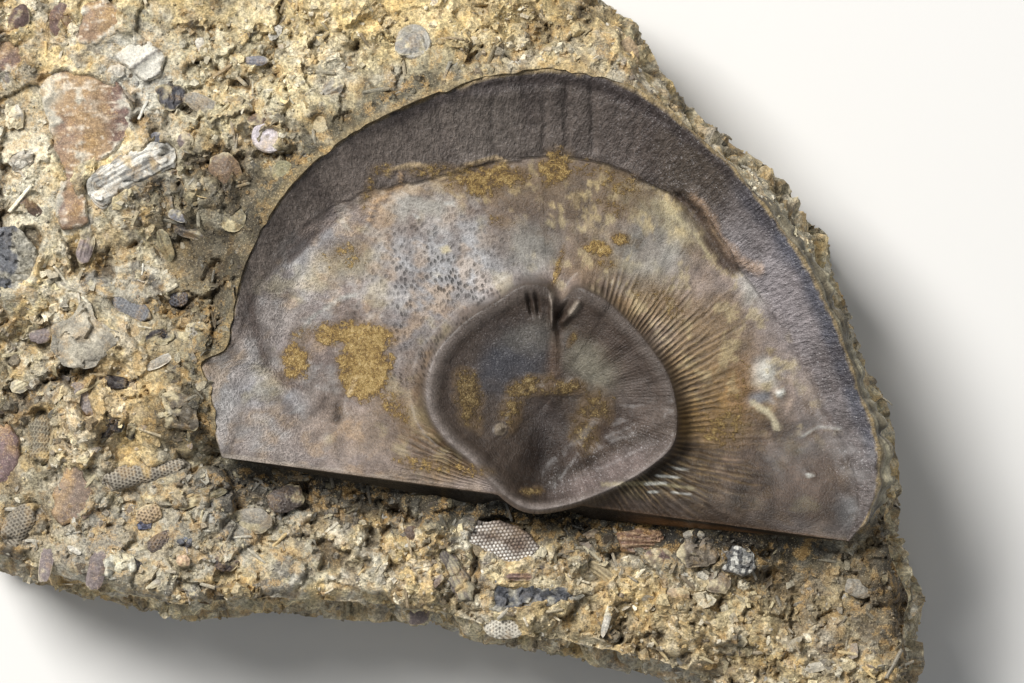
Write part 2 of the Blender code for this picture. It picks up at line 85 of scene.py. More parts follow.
# The raised, cup-shaped muscle field: (angle round its own centre, millimetres).
CUP_CENTRE = (0.15, 6.45)
CUP_REACH = (
    (0, 7.85), (18, 7.37), (36, 6.85), (56, 6.73), (77, 7.0), (86, 6.95), (91, 6.15), (95, 6.2), (100, 6.85),
    (108, 7.2), (128, 6.93), (150, 7.3), (172, 7.85), (193, 7.74), (211, 6.96), (224, 6.38), (240, 6.4),
    (265, 7.0), (285, 6.7), (300, 6.6), (315, 6.8), (332, 7.4), (347, 8.06), (360, 7.85),
)  # fmt: skip
CUP_CREST = (
    (0, 0.25), (60, 0.0), (84, -0.1), (91, -0.6), (98, -0.1), (130, 0.0), (180, 0.15), (230, 0.45), (270, 0.6),
    (310, 0.6), (360, 0.25),
)  # fmt: skip
CUP_STEEPNESS = ((0, 3.0), (40, 1.8), (90, 1.5), (150, 1.5), (205, 2.0), (245, 3.0), (280, 6.0), (335, 6.0),
                 (360, 3.0))
CUP_FLOOR = -1.5

# Ridges and grooves in the muscle field: (points in the valve's u and v, half width, height).
CUP_STROKES = (
    (((-0.3, 10.6), (0.05, 9.5), (0.15, 7.8)), 0.22, 0.16),
    (((-0.75, 13.0), (-0.6, 12.0), (-0.45, 10.9)), 0.17, 0.5),
    (((0.95, 12.5), (0.62, 11.9), (0.2, 11.3)), 0.24, 0.55),
    (((1.0, 1.4), (2.2, 2.7), (4.6, 4.2), (7.2, 6.0)), 0.6, 0.34),
    (((0.1, 4.8), (0.2, 2.8), (0.0, 1.3)), 1.1, -0.35),
    (((-2.2, 4.1), (-2.1, 6.0), (-0.4, 7.0)), 0.4, 0.16),
    (((-0.1, 6.8), (1.3, 7.4), (3.3, 6.9), (3.5, 5.5), (2.2, 3.4)), 0.5, 0.2),
    (((-2.2, 12.6), (-2.0, 12.0), (-1.8, 11.5)), 0.13, -0.4),
    (((-1.75, 12.8), (-1.5, 12.1), (-1.4, 11.6)), 0.13, -0.4),
    (((0.25, 13.2), (0.1, 12.3), (-0.1, 11.6)), 0.26, -0.5),
    (((-2.86, 4.06), (-2.84, 4.06)), 0.3, 0.3),
    (((7.4, 5.2), (5.4, 3.9), (3.6, 2.8)), 0.2, 0.07),
    (((7.6, 7.2), (5.8, 6.3), (4.4, 5.2)), 0.25, 0.14),
    (((7.3, 9.2), (5.4, 7.9)), 0.25, 0.12),
    (((6.2, 3.2), (4.2, 2.2), (2.4, 1.1)), 0.2, 0.07),
)

# How far the fine ribs run out from the muscle field's rim, for each angle round its centre.
SPOKE_LENGTH = (
    (0, 7.5), (30, 7.0), (60, 3.8), (80, 1.2), (100, 0.4), (130, 0.7), (180, 1.2), (200, 3.6), (222, 4.8),
    (240, 1.0), (300, 1.0), (320, 7.5), (342, 8.5), (360, 7.5),
)  # fmt: skip

# Ribs to the right of the muscle field, counted over the turn from its notch: (degrees, ribs so far). Then the depth
# of all the ribs for each angle.
RIB_COUNT = ((170, 0), (215, 18), (262, 41), (320, 68), (360, 81))
RIB_DEPTH = (
    (0, 0.9), (50, 1.0), (75, 0.8), (92, 0.2), (120, 0.1), (186, 0.15), (198, 0.8), (222, 0.9), (232, 0.4), (300,
        0.5),
    (318, 0.9), (360, 0.9),
)  # fmt: skip
LEFT_RIB = 2.4

SLAB_OUTLINE = (
    (12.5, 20.2), (14.0, 17.3), (15.0, 15.8), (17.8, 13.0), (19.9, 11.8), (22.1, 9.9), (23.3, 8.0), (24.7, 6.7),
    (24.9, 4.6), (25.9, 1.8), (27.2, -2.0), (28.2, -3.6), (28.7, -5.7), (29.0, -7.5), (29.3, -9.2), (29.2, -11.0),
    (29.3, -12.4), (30.1, -14.3), (31.0, -16.3), (30.4, -18.4), (30.7, -20.3), (30.4, -22.2),
    (28.4, -23.8), (24.6, -24.5), (20.2, -23.6), (14.3, -21.2), (8.8, -20.1), (4.8, -19.3), (0.9, -18.3),
    (-1.8, -17.7), (-7.7, -17.2), (-11.8, -17.1), (-16.2, -17.5), (-20.5, -16.6), (-25.6, -15.2), (-29.1, -13.8),
    (-30.7, -10.0), (-31.0, -4.5), (-30.4, 1.0), (-30.9, 6.5), (-30.2, 12.5), (-30.7, 17.7), (-29.7, 21.6),
    (-27.0, 23.5), (-21.0, 24.0), (-15.0, 24.5), (-8.0, 24.2), (-2.0, 24.5), (4.0, 23.9), (8.6, 22.9),
)  # fmt: skip
SLAB_LEVEL = 14.3
SLAB_SLOPE = 0.03
BANK_RUN = 5.0
RIGHT_FALL = 0.55
BELOW_HINGE = 2.8

# Hollows in the slab's top face: (x, y, radius, depth).
PITS = (
    (-15.4, -5.5, 1.3, 1.2), (-13.8, -7.0, 0.9, 1.0), (22.8, -15.2, 2.0, 1.2), (-19.8, -2.3, 1.0, 0.9),
    (-15.6, 6.8, 1.0, 0.8), (-27.0, 1.5, 1.2, 0.8),
)  # fmt: skip

# Flat fossils and chips in the slab: name, outline (x, y), how far they stand out, crown.
PLATES = (
    ("shell_fragment_large",
     ((-24.8, 16.2), (-23.5, 17.3), (-21.3, 17.2), (-19.8, 16.1), (-18.9, 14.8), (-19.2, 13.0),
     (-20.2, 11.9), (-22.5, 10.6), (-22.6, 8.6), (-22.4, 7.5), (-23.5, 7.0), (-24.0, 8.0), (-23.6, 10.6),
     (-24.5, 14.0)), 0.4, 0.5),
    ("shell_fragment_top", ((-22.2, 21.1), (-20.8, 21.6), (-19.3, 20.4), (-19.4, 19.6), (-21.0, 18.7), (-22.3, 18.6),
     (-22.9, 19.6)), 0.5, 0.4),
    ("shell_fragment_corner", ((-27.9, 19.0), (-26.4, 19.2), (-25.5, 17.7), (-26.3, 16.7), (-27.9, 17.0)), 0.3, 0.3),
    ("shell_flake_grey", ((-20.2, 17.9), (-19.3, 18.7), (-17.9, 18.9), (-17.0, 18.0), (-17.3, 16.7), (-18.3, 16.3),
     (-19.0, 16.9)), 0.6, 0.2),
    ("mudstone_pebble", ((-24.1, 1.0), (-22.8, 1.6), (-22.3, 2.6), (-21.5, 2.5), (-21.2, 1.4), (-19.8, 0.7),
     (-19.8, -0.2), (-20.8, -0.9), (-21.8, -1.8), (-23.4, -1.5), (-24.2, -0.4)), 0.7, 0.3),
    ("shell_paddle", ((-23.0, -7.2), (-22.1, -7.6), (-22.2, -8.6), (-21.6, -9.4), (-21.5, -10.2), (-22.2, -11.1),
     (-23.5, -11.6), (-24.1, -10.8), (-24.2, -9.5), (-23.5, -8.6)), 0.5, 0.3),
    ("shell_ribbed_left", ((-28.0, -5.3), (-26.9, -5.2), (-26.2, -6.1), (-26.2, -7.8), (-27.0, -9.0), (-28.0, -9.0)),
     0.5, 0.4),
    ("mineral_chunk", ((-27.8, 7.2), (-26.5, 7.3), (-25.4, 6.4), (-24.8, 5.0), (-25.0, 3.9), (-26.1, 2.9),
     (-27.4, 2.9), (-27.9, 4.5)), 0.6, 0.3),
    ("bryozoan_fan", ((2.1, -11.3), (4.0, -11.2), (6.0, -12.0), (6.6, -13.0), (5.2, -14.2), (3.6, -13.4),
     (2.0, -12.5)), 0.7, 0.3),
    ("shell_chip_dark", ((3.2, -14.8), (4.4, -14.7), (5.6, -15.2), (7.9, -15.3), (9.4, -15.9), (7.8, -16.4),
     (5.9, -16.8), (4.1, -17.1), (3.2, -16.8)), 0.4, 0.1),
    ("shell_ribbed_small", ((11.3, -11.9), (12.8, -11.6), (14.2, -11.9), (14.4, -12.7), (13.1, -13.3),
     (11.6, -13.1)), 0.4, 0.4),
    ("rock_chip_granular", ((17.9, -12.9), (19.0, -12.7), (19.9, -13.2), (20.1, -14.2), (19.2, -14.8),
     (18.0, -14.3)), 0.6, 0.3),
)  # fmt: skip

# Branches of bryozoan, half sunk in the slab: name, start, end, radius.
BRANCHES = (
    ("bryozoan_branch_pale", (-21.2, 9.6), (-17.0, 11.8), 1.15),
    ("bryozoan_knob", (-20.1, 2.5), (-18.2, 1.6), 0.7),
    ("bryozoan_stub", (-22.5, -2.9), (-21.8, -4.4), 0.75),
    ("bryozoan_upright", (-24.8, -4.6), (-24.9, -7.4), 0.85),
    ("bryozoan_long", (-20.6, -8.7), (-15.9, -7.7), 0.75),
    ("bryozoan_low", (-26.9, -12.2), (-25.3, -10.6), 0.9),
    ("bryozoan_stick", (0.4, -13.2), (2.0, -16.0), 0.65),
    ("bryozoan_twig", (9.7, -13.9), (11.0, -14.8), 0.5),
)
BRANCH_SQUASH = 0.8
BRANCH_SUNK = 0.38

# Round crinoid columnals, lying flat: name, centre, radius.
COLUMNALS = (
    ("columnal_pale", (-10.5, 12.9), 1.05),
    ("columnal_beige", (-7.3, 13.9), 0.85),
    ("columnal_green", (-9.6, 10.7), 0.7),
    ("columnal_grey", (-1.4, 18.8), 1.1),
)
COLUMNAL_PROUD = 0.2

# Smaller fossils and chips that the CAD leaves out, placed in the photo's pixels (16 to a millimetre): middle
# x, y, half length, half width, turn in degrees, colour, kind.
DUSKY, BLACK, BLUISH, LILAC = (74, 74, 80), (44, 42, 46), (116, 116, 122), (128, 116, 114)
UMBER, FAWN, PALE, STONE, OLIVE = (98, 80, 68), (176, 154, 124), (212, 206, 192), (146, 140, 128), (118, 110, 86)
BITS = (
    (171, 93, 13, 15, 30, DUSKY, "chip"), (110, 70, 15, 7, 0, PALE, "shell"), (257, 119, 10, 6, 10, UMBER, "shell"),
    (156, 137, 6, 6, 0, BLUISH, "shell"), (185, 141, 8, 9, 40, LILAC, "shell"), (204, 105, 22, 9, -25, STONE,
        "shell"),
    (224, 171, 15, 18, 20, (118, 98, 80), "shell"), (200, 45, 5, 8, 20, PALE, "shell"), (275, 32, 9, 5, 50, PALE,
        "shell"),
    (255, 60, 12, 5, 0, BLUISH, "fibre"), (144, 60, 18, 13, 20, PALE, "chip"), (177, 215, 10, 6, -20, BLUISH,
        "shell"),
    (192, 231, 24, 8, -15, (88, 82, 76), "fibre"), (231, 219, 14, 12, 0, OLIVE, "shell"), (30, 207, 14, 6, -40, UMBER,
        "shell"),
    (85, 225, 14, 8, 80, STONE, "fibre"), (84, 245, 18, 8, 75, LILAC, "fibre"), (57, 255, 12, 8, 60, FAWN, "fibre"),
    (164, 245, 16, 7, -70, OLIVE, "fibre"), (38, 334, 11, 9, 0, LILAC, "shell"), (158, 337, 14, 8, 10, BLACK, "chip"),
    (177, 299, 10, 8, 0, DUSKY, "net"), (194, 330, 10, 8, 0, STONE, "net"), (117, 383, 20, 7, -10, BLACK, "chip"),
    (158, 362, 16, 5, 25, PALE, "fibre"), (107, 430, 16, 9, 15, BLACK, "chip"), (130, 432, 5, 9, 0, BLACK, "chip"),
    (68, 428, 14, 6, -70, FAWN, "shell"), (174, 412, 24, 20, 0, (96, 88, 74), "chip"), (19, 384, 12, 8, 30, STONE,
        "fibre"),
    (285, 500, 19, 13, 15, (78, 69, 64), "net"), (220, 500, 12, 9, 30, (108, 106, 104), "shell"), (147, 515, 13, 10,
        20, FAWN, "net"),
    (142, 526, 7, 5, 10, (92, 98, 122), "chip"), (127, 560, 18, 5, -35, DUSKY, "chip"), (72, 551, 8, 3, -30, PALE,
        "shell"),
    (182, 562, 7, 6, 0, (208, 178, 148), "shell"), (160, 582, 16, 4, 25, STONE, "fibre"), (44, 560, 24, 7, 80, LILAC,
        "shell"),
    (95, 570, 20, 9, 80, LILAC, "shell"), (117, 567, 16, 14, 0, (206, 204, 188), "chip"), (200, 497, 28, 8, 20, OLIVE,
        "fibre"),
    (160, 542, 16, 8, 30, (100, 90, 84), "net"), (185, 542, 9, 6, 0, (96, 100, 108), "chip"), (225, 565, 12, 8, 0,
        (64, 62, 70), "chip"),
    (250, 522, 20, 13, 0, STONE, "shell"), (413, 536, 11, 7, -50, UMBER, "shell"), (431, 586, 15, 5, 40, LILAC,
        "shell"),
    (417, 618, 13, 10, 0, LILAC, "shell"), (503, 628, 20, 13, 0, (190, 184, 170), "net"), (520, 578, 14, 4, 0,
        (134, 108, 98), "fibre"),
    (608, 620, 18, 4, 75, PALE, "shell"), (544, 613, 13, 10, 40, (186, 168, 134), "shell"), (614, 638, 9, 7, 0,
        (88, 88, 80), "chip"),
    (592, 541, 14, 9, 35, (122, 110, 96), "fibre"), (659, 558, 14, 9, 0, (104, 84, 78), "shell"), (700, 553, 20, 15,
        0, (116, 106, 92), "chip"),
    (695, 536, 11, 5, 0, STONE, "fibre"), (719, 584, 12, 11, 0, (124, 110, 92), "shell"), (741, 642, 9, 6, -30,
        BLUISH, "chip"),
    (746, 654, 7, 5, 0, BLACK, "chip"), (664, 606, 14, 4, 95, (158, 148, 144), "fibre"), (678, 598, 12, 10, 0, FAWN,
        "shell"),
    (820, 668, 30, 5, 12, (186, 178, 160), "shell"), (860, 590, 14, 9, -20, STONE, "shell"), (412, 44, 17, 11, 10,
        (150, 148, 142), "shell"),
    (630, 48, 12, 8, -60, FAWN, "shell"), (330, 90, 16, 8, 30, STONE, "fibre"), (18, 20, 16, 10, 70, (104, 84, 80),
        "shell"),
    (60, 20, 12, 18, 0, (112, 90, 84), "shell"), (12, 116, 10, 14, 0, PALE, "chip"), (20, 160, 14, 9, 30, PALE,
        "chip"),
)

# --------------------------------------------------------------------------------------------------------------------
# Fineness of the meshes.

VALVE_DIRECTIONS = 760
ROCK_SPACING = 0.168
ROCK_BROW = 1.0
SIDE_POINTS = 800
SIDE_RINGS = 50
BASE_SPACING = 1.3
PLATE_SPACING = 0.13
LATTICE_SPACING = 0.06
PORE_PITCH = 0.27
NET_PITCH = 0.34
HASH_TOP = 17.5
RAY_START = 0.03

# The photo: pixels to a millimetre of the slab, and the pixel over the slab's middle.
PHOTO_SCALE = 16
PHOTO_MIDDLE = (436, 342.5)

# --------------------------------------------------------------------------------------------------------------------
# Colours of the valve. A zone is: colour, strength, middle (u, v), half sizes, turn in degrees, softness of its edge.

SHELL_BROWN = (118, 105, 97)
SHELL_LILAC = (136, 125, 121)
SHELL_BLUE = (156, 158, 162)
SHELL_GREY = (146, 144, 138)
SHELL_DARK = (88, 76, 70)
SHELL_UMBER = (112, 92, 66)
SHELL_TAN = (152, 126, 96)
SHELL_CREAM = (182, 170, 134)
SHELL_BEIGE = (148, 132, 114)
SHELL_PALE = (176, 176, 170)
SLATE = (118, 120, 126)
EAR_GREY = (146, 138, 136)
RUST = (138, 100, 62)
GOLD = (150, 118, 66)
WHITE = (198, 198, 190)
BLACK_BROWN = (50, 40, 34)

VALVE_ZONES = (
    ((148, 136, 128), 0.9, (-17.7, 3.3), (3.9, 3.2), 0, 0.5),
    (SHELL_BLUE, 0.6, (-19.4, 4.2), (2.5, 0.7), 0, 0.8),
    (SHELL_BLUE, 0.6, (-16.9, 4.5), (1.9, 0.6), -22, 0.8),
    ((178, 171, 165), 0.7, (-20.3, 3.4), (0.9, 2.4), 8, 0.8),
    ((154, 144, 137), 0.8, (-17.0, 10.3), (4.4, 1.4), 65, 0.6),
    (SHELL_BLUE, 0.6, (-15.5, 13.7), (1.9, 0.9), 48, 0.6),
    (SHELL_TAN, 0.6, (-15.2, 12.8), (0.9, 1.0), 8, 0.9),
    (SHELL_CREAM, 0.6, (-13.5, 13.2), (2.1, 0.9), 18, 0.9),
    (SHELL_TAN, 0.75, (-12.5, 17.6), (1.0, 1.8), 33, 0.7),
    (SHELL_BLUE, 0.8, (-7.9, 13.9), (4.7, 2.4), 13, 0.6),
    (SHELL_GREY, 0.8, (-10.0, 17.6), (2.4, 1.1), 8, 0.5),
    ((180, 160, 132), 0.75, (-10.1, 18.9), (2.2, 0.7), 10, 0.7),
    ((130, 114, 100), 0.4, (-13.4, 15.6), (2.0, 1.6), 20, 0.8),
    ((112, 112, 116), 0.7, (-8.8, 9.8), (2.4, 3.1), -12, 0.7),
    ((110, 92, 80), 0.5, (-14.6, 8.4), (1.6, 2.6), -20, 0.8),
    (SHELL_DARK, 0.6, (-13.5, 6.4), (1.4, 1.4), 8, 0.7),
    ((140, 124, 112), 0.7, (-12.1, 2.8), (4.4, 1.4), 0, 0.6),
    (SHELL_UMBER, 0.9, (-7.4, 3.4), (2.9, 1.9), -32, 0.7),
    ((104, 90, 77), 0.6, (-9.8, 2.5), (2.6, 1.2), -20, 0.8),
    ((92, 76, 60), 0.6, (-8.4, 6.6), (1.0, 2.6), -10, 0.8),
    ((88, 70, 52), 0.7, (-6.6, 3.0), (2.6, 1.3), -32, 0.8),
    (SHELL_GREY, 0.75, (-2.5, 15.7), (1.8, 1.4), 8, 0.5),
    (SHELL_DARK, 0.7, (-3.2, 18.5), (2.5, 0.8), 12, 0.8),
    (SHELL_BROWN, 0.7, (-4.4, 16.1), (0.7, 1.5), 16, 0.8),
    (SHELL_BEIGE, 0.6, (1.1, 17.5), (2.0, 1.8), 8, 0.7),
    ((110, 91, 67), 0.85, (-5.6, 19.3), (3.6, 1.0), 8, 0.8),
    ((104, 88, 69), 0.8, (0.6, 19.7), (4.4, 1.3), -4, 0.8),
    ((104, 90, 76), 0.6, (-1.4, 18.2), (2.4, 0.8), 0, 0.9),
    ((102, 88, 70), 0.7, (6.4, 18.6), (2.6, 1.2), -22, 0.9),
    (SHELL_TAN, 0.7, (2.3, 15.3), (2.4, 1.2), 2, 0.8),
    (SHELL_GREY, 0.8, (5.1, 15.9), (2.2, 2.4), -22, 0.6),
    (SHELL_CREAM, 0.5, (5.8, 18.7), (2.6, 0.9), -30, 0.9),
    (GOLD, 0.45, (4.8, 12.9), (2.8, 1.4), 28, 0.9),
    (SHELL_UMBER, 0.8, (9.2, 10.7), (3.2, 3.6), 8, 0.7),
    ((122, 101, 70), 0.6, (8.8, 7.2), (2.0, 3.6), 0, 0.8),
    (GOLD, 0.85, (11.2, 6.5), (2.8, 2.0), 28, 0.8),
    # Painted shade where the inner face rounds down to the hinge below the muscle field.
    ((50, 40, 32), 0.75, (5.6, 1.6), (3.6, 1.1), 14, 0.8),
    (RUST, 0.5, (12.1, 8.2), (0.8, 1.9), 8, 0.8),
    ((114, 95, 82), 0.9, (15.8, 3.7), (5.2, 3.0), 0, 0.5),
    (EAR_GREY, 0.35, (17.4, 5.8), (1.6, 0.8), 2, 0.7),
    (SHELL_DARK, 0.4, (19.6, 5.1), (0.8, 1.5), 8, 0.8),
    (SHELL_BLUE, 0.6, (19.7, 1.9), (0.8, 1.1), 38, 0.7),
    (SHELL_UMBER, 0.6, (9.4, 2.6), (3.1, 1.6), -2, 0.7),
    (EAR_GREY, 0.45, (14.7, 0.6), (5.6, 0.4), 0, 0.8),
    (SHELL_PALE, 0.7, (11.9, 15.0), (0.8, 1.2), 28, 0.9),
    (WHITE, 0.75, (13.2, 9.7), (0.9, 0.8), 30, 0.7),
    (SLATE, 0.9, (13.1, 8.2), (0.8, 0.45), 20, 0.6),
)
CUP_BASE = (66, 56, 48)
CUP_ZONES = (
    ((60, 61, 67), 0.85, (-3.3, 8.3), (2.8, 2.0), 28, 0.8),
    ((96, 92, 86), 0.7, (-1.7, 10.0), (1.6, 0.9), 10, 0.8),
    ((82, 70, 60), 0.6, (-5.8, 8.2), (1.0, 2.4), -30, 0.7),
    ((116, 111, 97), 0.8, (2.5, 8.7), (1.7, 1.1), -32, 0.8),
    ((84, 64, 48), 0.6, (0.0, 9.2), (0.4, 1.9), 3, 0.9),
    ((62, 50, 42), 0.7, (4.2, 10.1), (1.5, 1.4), -40, 0.7),
    ((92, 82, 76), 0.8, (6.0, 7.0), (1.7, 2.4), 10, 0.8),
    # The deep trough at the back of the muscle field: partly its own dark colour, partly painted shade of its depth.
    ((24, 14, 8), 0.95, (0.1, 2.8), (1.6, 2.8), 0, 0.9),
    ((60, 52, 49), 0.7, (-0.1, 5.2), (0.9, 1.2), 0, 0.8),
    ((58, 48, 41), 0.6, (-3.0, 2.8), (1.8, 1.6), -40, 0.7),
    ((108, 96, 92), 0.75, (4.4, 2.3), (3.6, 0.9), 34, 0.6),
    ((54, 41, 33), 0.8, (3.4, 4.5), (3.2, 1.0), 33, 0.9),
)

# Broad patches of painted shade: share of the light they take, middle (u, v), half sizes, turn in degrees, softness.
VALVE_PAINTED_SHADE = (
    (0.62, (17.5, 3.6), (6.2, 4.8), 0, 0.6),
    (0.3, (4.5, 2.8), (4.0, 2.4), 30, 0.6),
    (0.3, (12.0, 1.2), (8.0, 1.4), 0, 0.6),
    (0.25, (9.5, 2.8), (4.0, 2.6), 0, 0.7),
    (0.55, (8.2, 2.6), (3.2, 1.7), 0, 0.7),
    (0.18, (-17.0, 3.0), (4.5, 3.5), 0, 0.7),
    (0.27, (-0.5, 17.0), (6.0, 4.0), 0, 0.7),
    (0.3, (8.0, 21.6), (2.6, 2.0), -40, 0.7),
)

# Colour of the steep rim, (angle round the hinge's middle, colour), and how far in from the fold it starts.
TRAIL_COLOURS = (
    (0, (92, 83, 78)), (22, (101, 94, 93)), (48, (125, 118, 119)), (58, (133, 127, 128)), (67, (80, 71, 64)), (74,
        (78, 69, 61)),
    (84, (86, 77, 72)), (104, (96, 88, 82)), (126, (110, 100, 93)), (150, (99, 90, 83)), (168, (108, 99, 96)),
    (180, (140, 131, 128)),
)  # fmt: skip
TRAIL_START = ((0, 0.6), (20, 0.25), (45, 0.0), (90, -0.02), (122, 0.0), (142, 0.42), (155, 0.67), (162, 0.9),
               (168, 1.4), (180, 1.6))

# Ochre clay that clings to the valve: strength, middle (u, v), half sizes, turn in degrees, softness.
VALVE_DUST = (
    (1.0, (-11.7, 6.6), (1.6, 2.4), 4, 0.5),
    (0.85, (-12.6, 8.7), (2.5, 0.8), 4, 0.6),
    (0.85, (-16.1, 6.6), (0.8, 1.3), 14, 0.6),
    (0.45, (-15.8, 8.3), (0.7, 0.5), 30, 0.8),
    (0.5, (-9.6, 4.6), (1.5, 0.7), -34, 0.8),
    (0.55, (-4.8, 1.3), (1.6, 0.45), -2, 0.9),
    (0.55, (-7.2, 1.2), (2.0, 0.5), -4, 0.7),
    (0.72, (-5.8, 19.5), (2.6, 1.0), 10, 0.6),
    (0.55, (-9.3, 19.5), (1.8, 0.5), 14, 0.8),
    (0.75, (-1.5, 20.6), (1.0, 1.2), 0, 0.7),
    (0.5, (0.6, 20.9), (1.6, 0.6), -4, 0.9),
    (0.55, (2.3, 20.4), (1.6, 0.7), -14, 0.9),
    (0.45, (2.1, 18.9), (1.2, 0.7), -20, 0.9),
    (0.5, (-13.0, 17.6), (0.3, 1.7), -6, 0.8),
    (0.45, (-12.3, 19.2), (0.9, 0.4), 20, 0.9),
    (0.9, (1.7, 16.1), (0.8, 0.45), -4, 0.6),
    (0.9, (3.1, 16.9), (0.55, 0.4), 10, 0.6),
    (0.5, (2.4, 15.2), (0.9, 0.4), 10, 0.9),
    (0.6, (-0.5, 14.8), (0.22, 1.3), -8, 0.8),
    (0.4, (-14.2, 13.6), (1.6, 1.0), 20, 1.0),
    (0.42, (-4.4, 17.1), (0.9, 0.5), 0, 1.0),
    (0.42, (6.4, 13.2), (2.4, 0.9), -30, 1.0),
    (0.5, (10.9, 6.0), (2.0, 1.3), 30, 1.0),
    (0.42, (12.0, 8.6), (0.8, 2.0), 0, 1.0),
    (0.92, (-4.95, 5.6), (0.8, 1.7), 20, 0.8),
    (0.78, (-2.3, 5.3), (0.75, 1.4), -8, 0.8),
    (0.85, (-1.5, 6.9), (1.3, 0.6), 24, 0.8),
    (0.85, (0.9, 7.2), (1.4, 0.5), 12, 0.8),
    (0.72, (2.9, 6.2), (1.0, 1.0), -10, 0.9),
    (0.66, (2.4, 4.5), (0.85, 1.2), 25, 0.9),
    (0.85, (-0.4, 0.5), (0.9, 0.25), 8, 0.6),
    (0.6, (0.9, 10.2), (0.25, 0.45), -20, 0.7),
)

# The broken edge of the brown layer that is peeled off the bluish one.
PEELED_TOP = (
    (-11.9, 18.9), (-11.7, 19.3), (-10.3, 19.8), (-9.6, 19.8), (-9.2, 19.3), (-8.6, 19.2), (-7.6, 19.8), (-6.5, 20.5),
    (-5.2, 20.9), (-4.7, 20.7),
)  # fmt: skip
PEELED_SIDE = ((-11.1, 19.1), (-11.0, 18.4), (-11.6, 18.1), (-12.0, 17.4), (-12.5, 17.2), (-12.6, 16.6),
               (-12.7, 15.9))

# Small marks on the valve, some of them painted shade and highlight as marked: colour, strength, half width, points
# (u, v).
VALVE_LINES = (
    # The next two are painted shade: on the step where the left ear stands over the disc, and in the crease of the
    # fold.
    (SHELL_DARK, 0.7, 0.2, ((-19.5, 10.2), (-18.8, 8.2), (-18.0, 6.4), (-16.6, 5.2), (-15.4, 5.0))),
    (SHELL_DARK, 0.7, 0.16, ((-17.3, 12.7), (-16.0, 14.5), (-14.6, 15.9))),
    (SHELL_BROWN, 0.6, 0.16, ((-17.0, 14.5), (-15.9, 15.3), (-15.0, 15.6))),
    # The next two are a painted shadow along the inner side of the peeled edge.
    (SHELL_DARK, 0.6, 0.14, tuple((u + 0.16, v - 0.14) for u, v in PEELED_TOP)),
    (SHELL_DARK, 0.75, 0.13, tuple((u + 0.16, v) for u, v in PEELED_SIDE)),
    ((196, 172, 136), 0.85, 0.1, PEELED_TOP),
    ((176, 146, 112), 0.8, 0.1, PEELED_SIDE),
    # The right crease: pale tan along its ridge, partly its own colour and partly a painted highlight on its lit
    # side; dark brown along the groove at its foot, a painted shadow.
    ((152, 126, 102), 0.6, 0.34, ((7.2, 20.1), (8.5, 18.8), (9.5, 17.4), (10.7, 16.5), (11.9, 16.1))),
    ((66, 54, 46), 0.9, 0.36, ((6.5, 20.0), (7.7, 19.0), (8.6, 17.9), (9.7, 16.4), (10.4, 15.9))),
    (SHELL_CREAM, 0.5, 0.1, ((5.4, 19.6), (6.6, 18.6), (7.9, 17.6), (8.8, 16.5))),
    (BLACK_BROWN, 0.7, 0.07, ((-16.6, 7.9), (-15.9, 8.6), (-15.0, 9.9), (-14.6, 10.3))),
    (SHELL_PALE, 0.5, 0.1, ((-16.2, 8.2), (-15.3, 9.6), (-13.8, 10.9), (-12.9, 11.2))),
    (BLACK_BROWN, 0.8, 0.12, ((-17.9, 9.0), (-17.88, 9.0))),
    (BLACK_BROWN, 0.7, 0.1, ((-12.6, 6.0), (-12.2, 6.5), (-12.1, 7.2))),
    (BLACK_BROWN, 0.75, 0.3, ((-13.0, 3.4), (-13.2, 4.2))),
    (WHITE, 0.85, 0.2, ((14.2, 8.6), (14.35, 8.65))),
    ((168, 150, 138), 0.5, 0.2, ((14.8, 9.7), (15.1, 8.6), (14.9, 7.5))),
    ((188, 178, 150), 0.7, 0.17, ((12.7, 7.8), (13.3, 7.5), (13.8, 7.3), (14.4, 6.5))),
    (SHELL_PALE, 0.4, 0.06, ((16.0, 6.1), (16.4, 6.4), (16.9, 6.8), (17.6, 6.95), (18.3, 6.9))),
    ((150, 138, 126), 0.6, 0.13, ((-0.75, 12.9), (-0.6, 12.0), (-0.5, 11.3))),
    ((158, 146, 132), 0.65, 0.17, ((0.95, 12.4), (0.64, 11.9))),
    (WHITE, 0.85, 0.13, ((16.8, 3.8), (16.85, 3.8))),
    # The next six are painted glints: pale streaks on the fine ribs near the hinge below the muscle field.
    (SHELL_CREAM, 0.4, 0.1, ((4.0, 1.5), (7.0, 2.0), (9.6, 2.0))),
    (SHELL_PALE, 0.7, 0.09, ((6.7, 1.9), (7.9, 2.1))),
    (SHELL_PALE, 0.7, 0.07, ((7.3, 2.5), (8.6, 2.55))),
    (SHELL_PALE, 0.7, 0.07, ((6.9, 1.4), (7.5, 1.5))),
    (SHELL_PALE, 0.6, 0.06, ((8.3, 3.1), (9.1, 3.1))),
    (SHELL_PALE, 0.6, 0.07, ((8.4, 1.6), (9.5, 1.6))),
    (SHELL_PALE, 0.7, 0.12, ((-9.9, 16.6), (-9.75, 16.6))),
    (SHELL_CREAM, 0.75, 0.2, ((-7.8, 14.7), (-7.6, 14.8))),
    (SHELL_PALE, 0.7, 0.13, ((-8.0, 17.6), (-7.6, 17.7))),
)

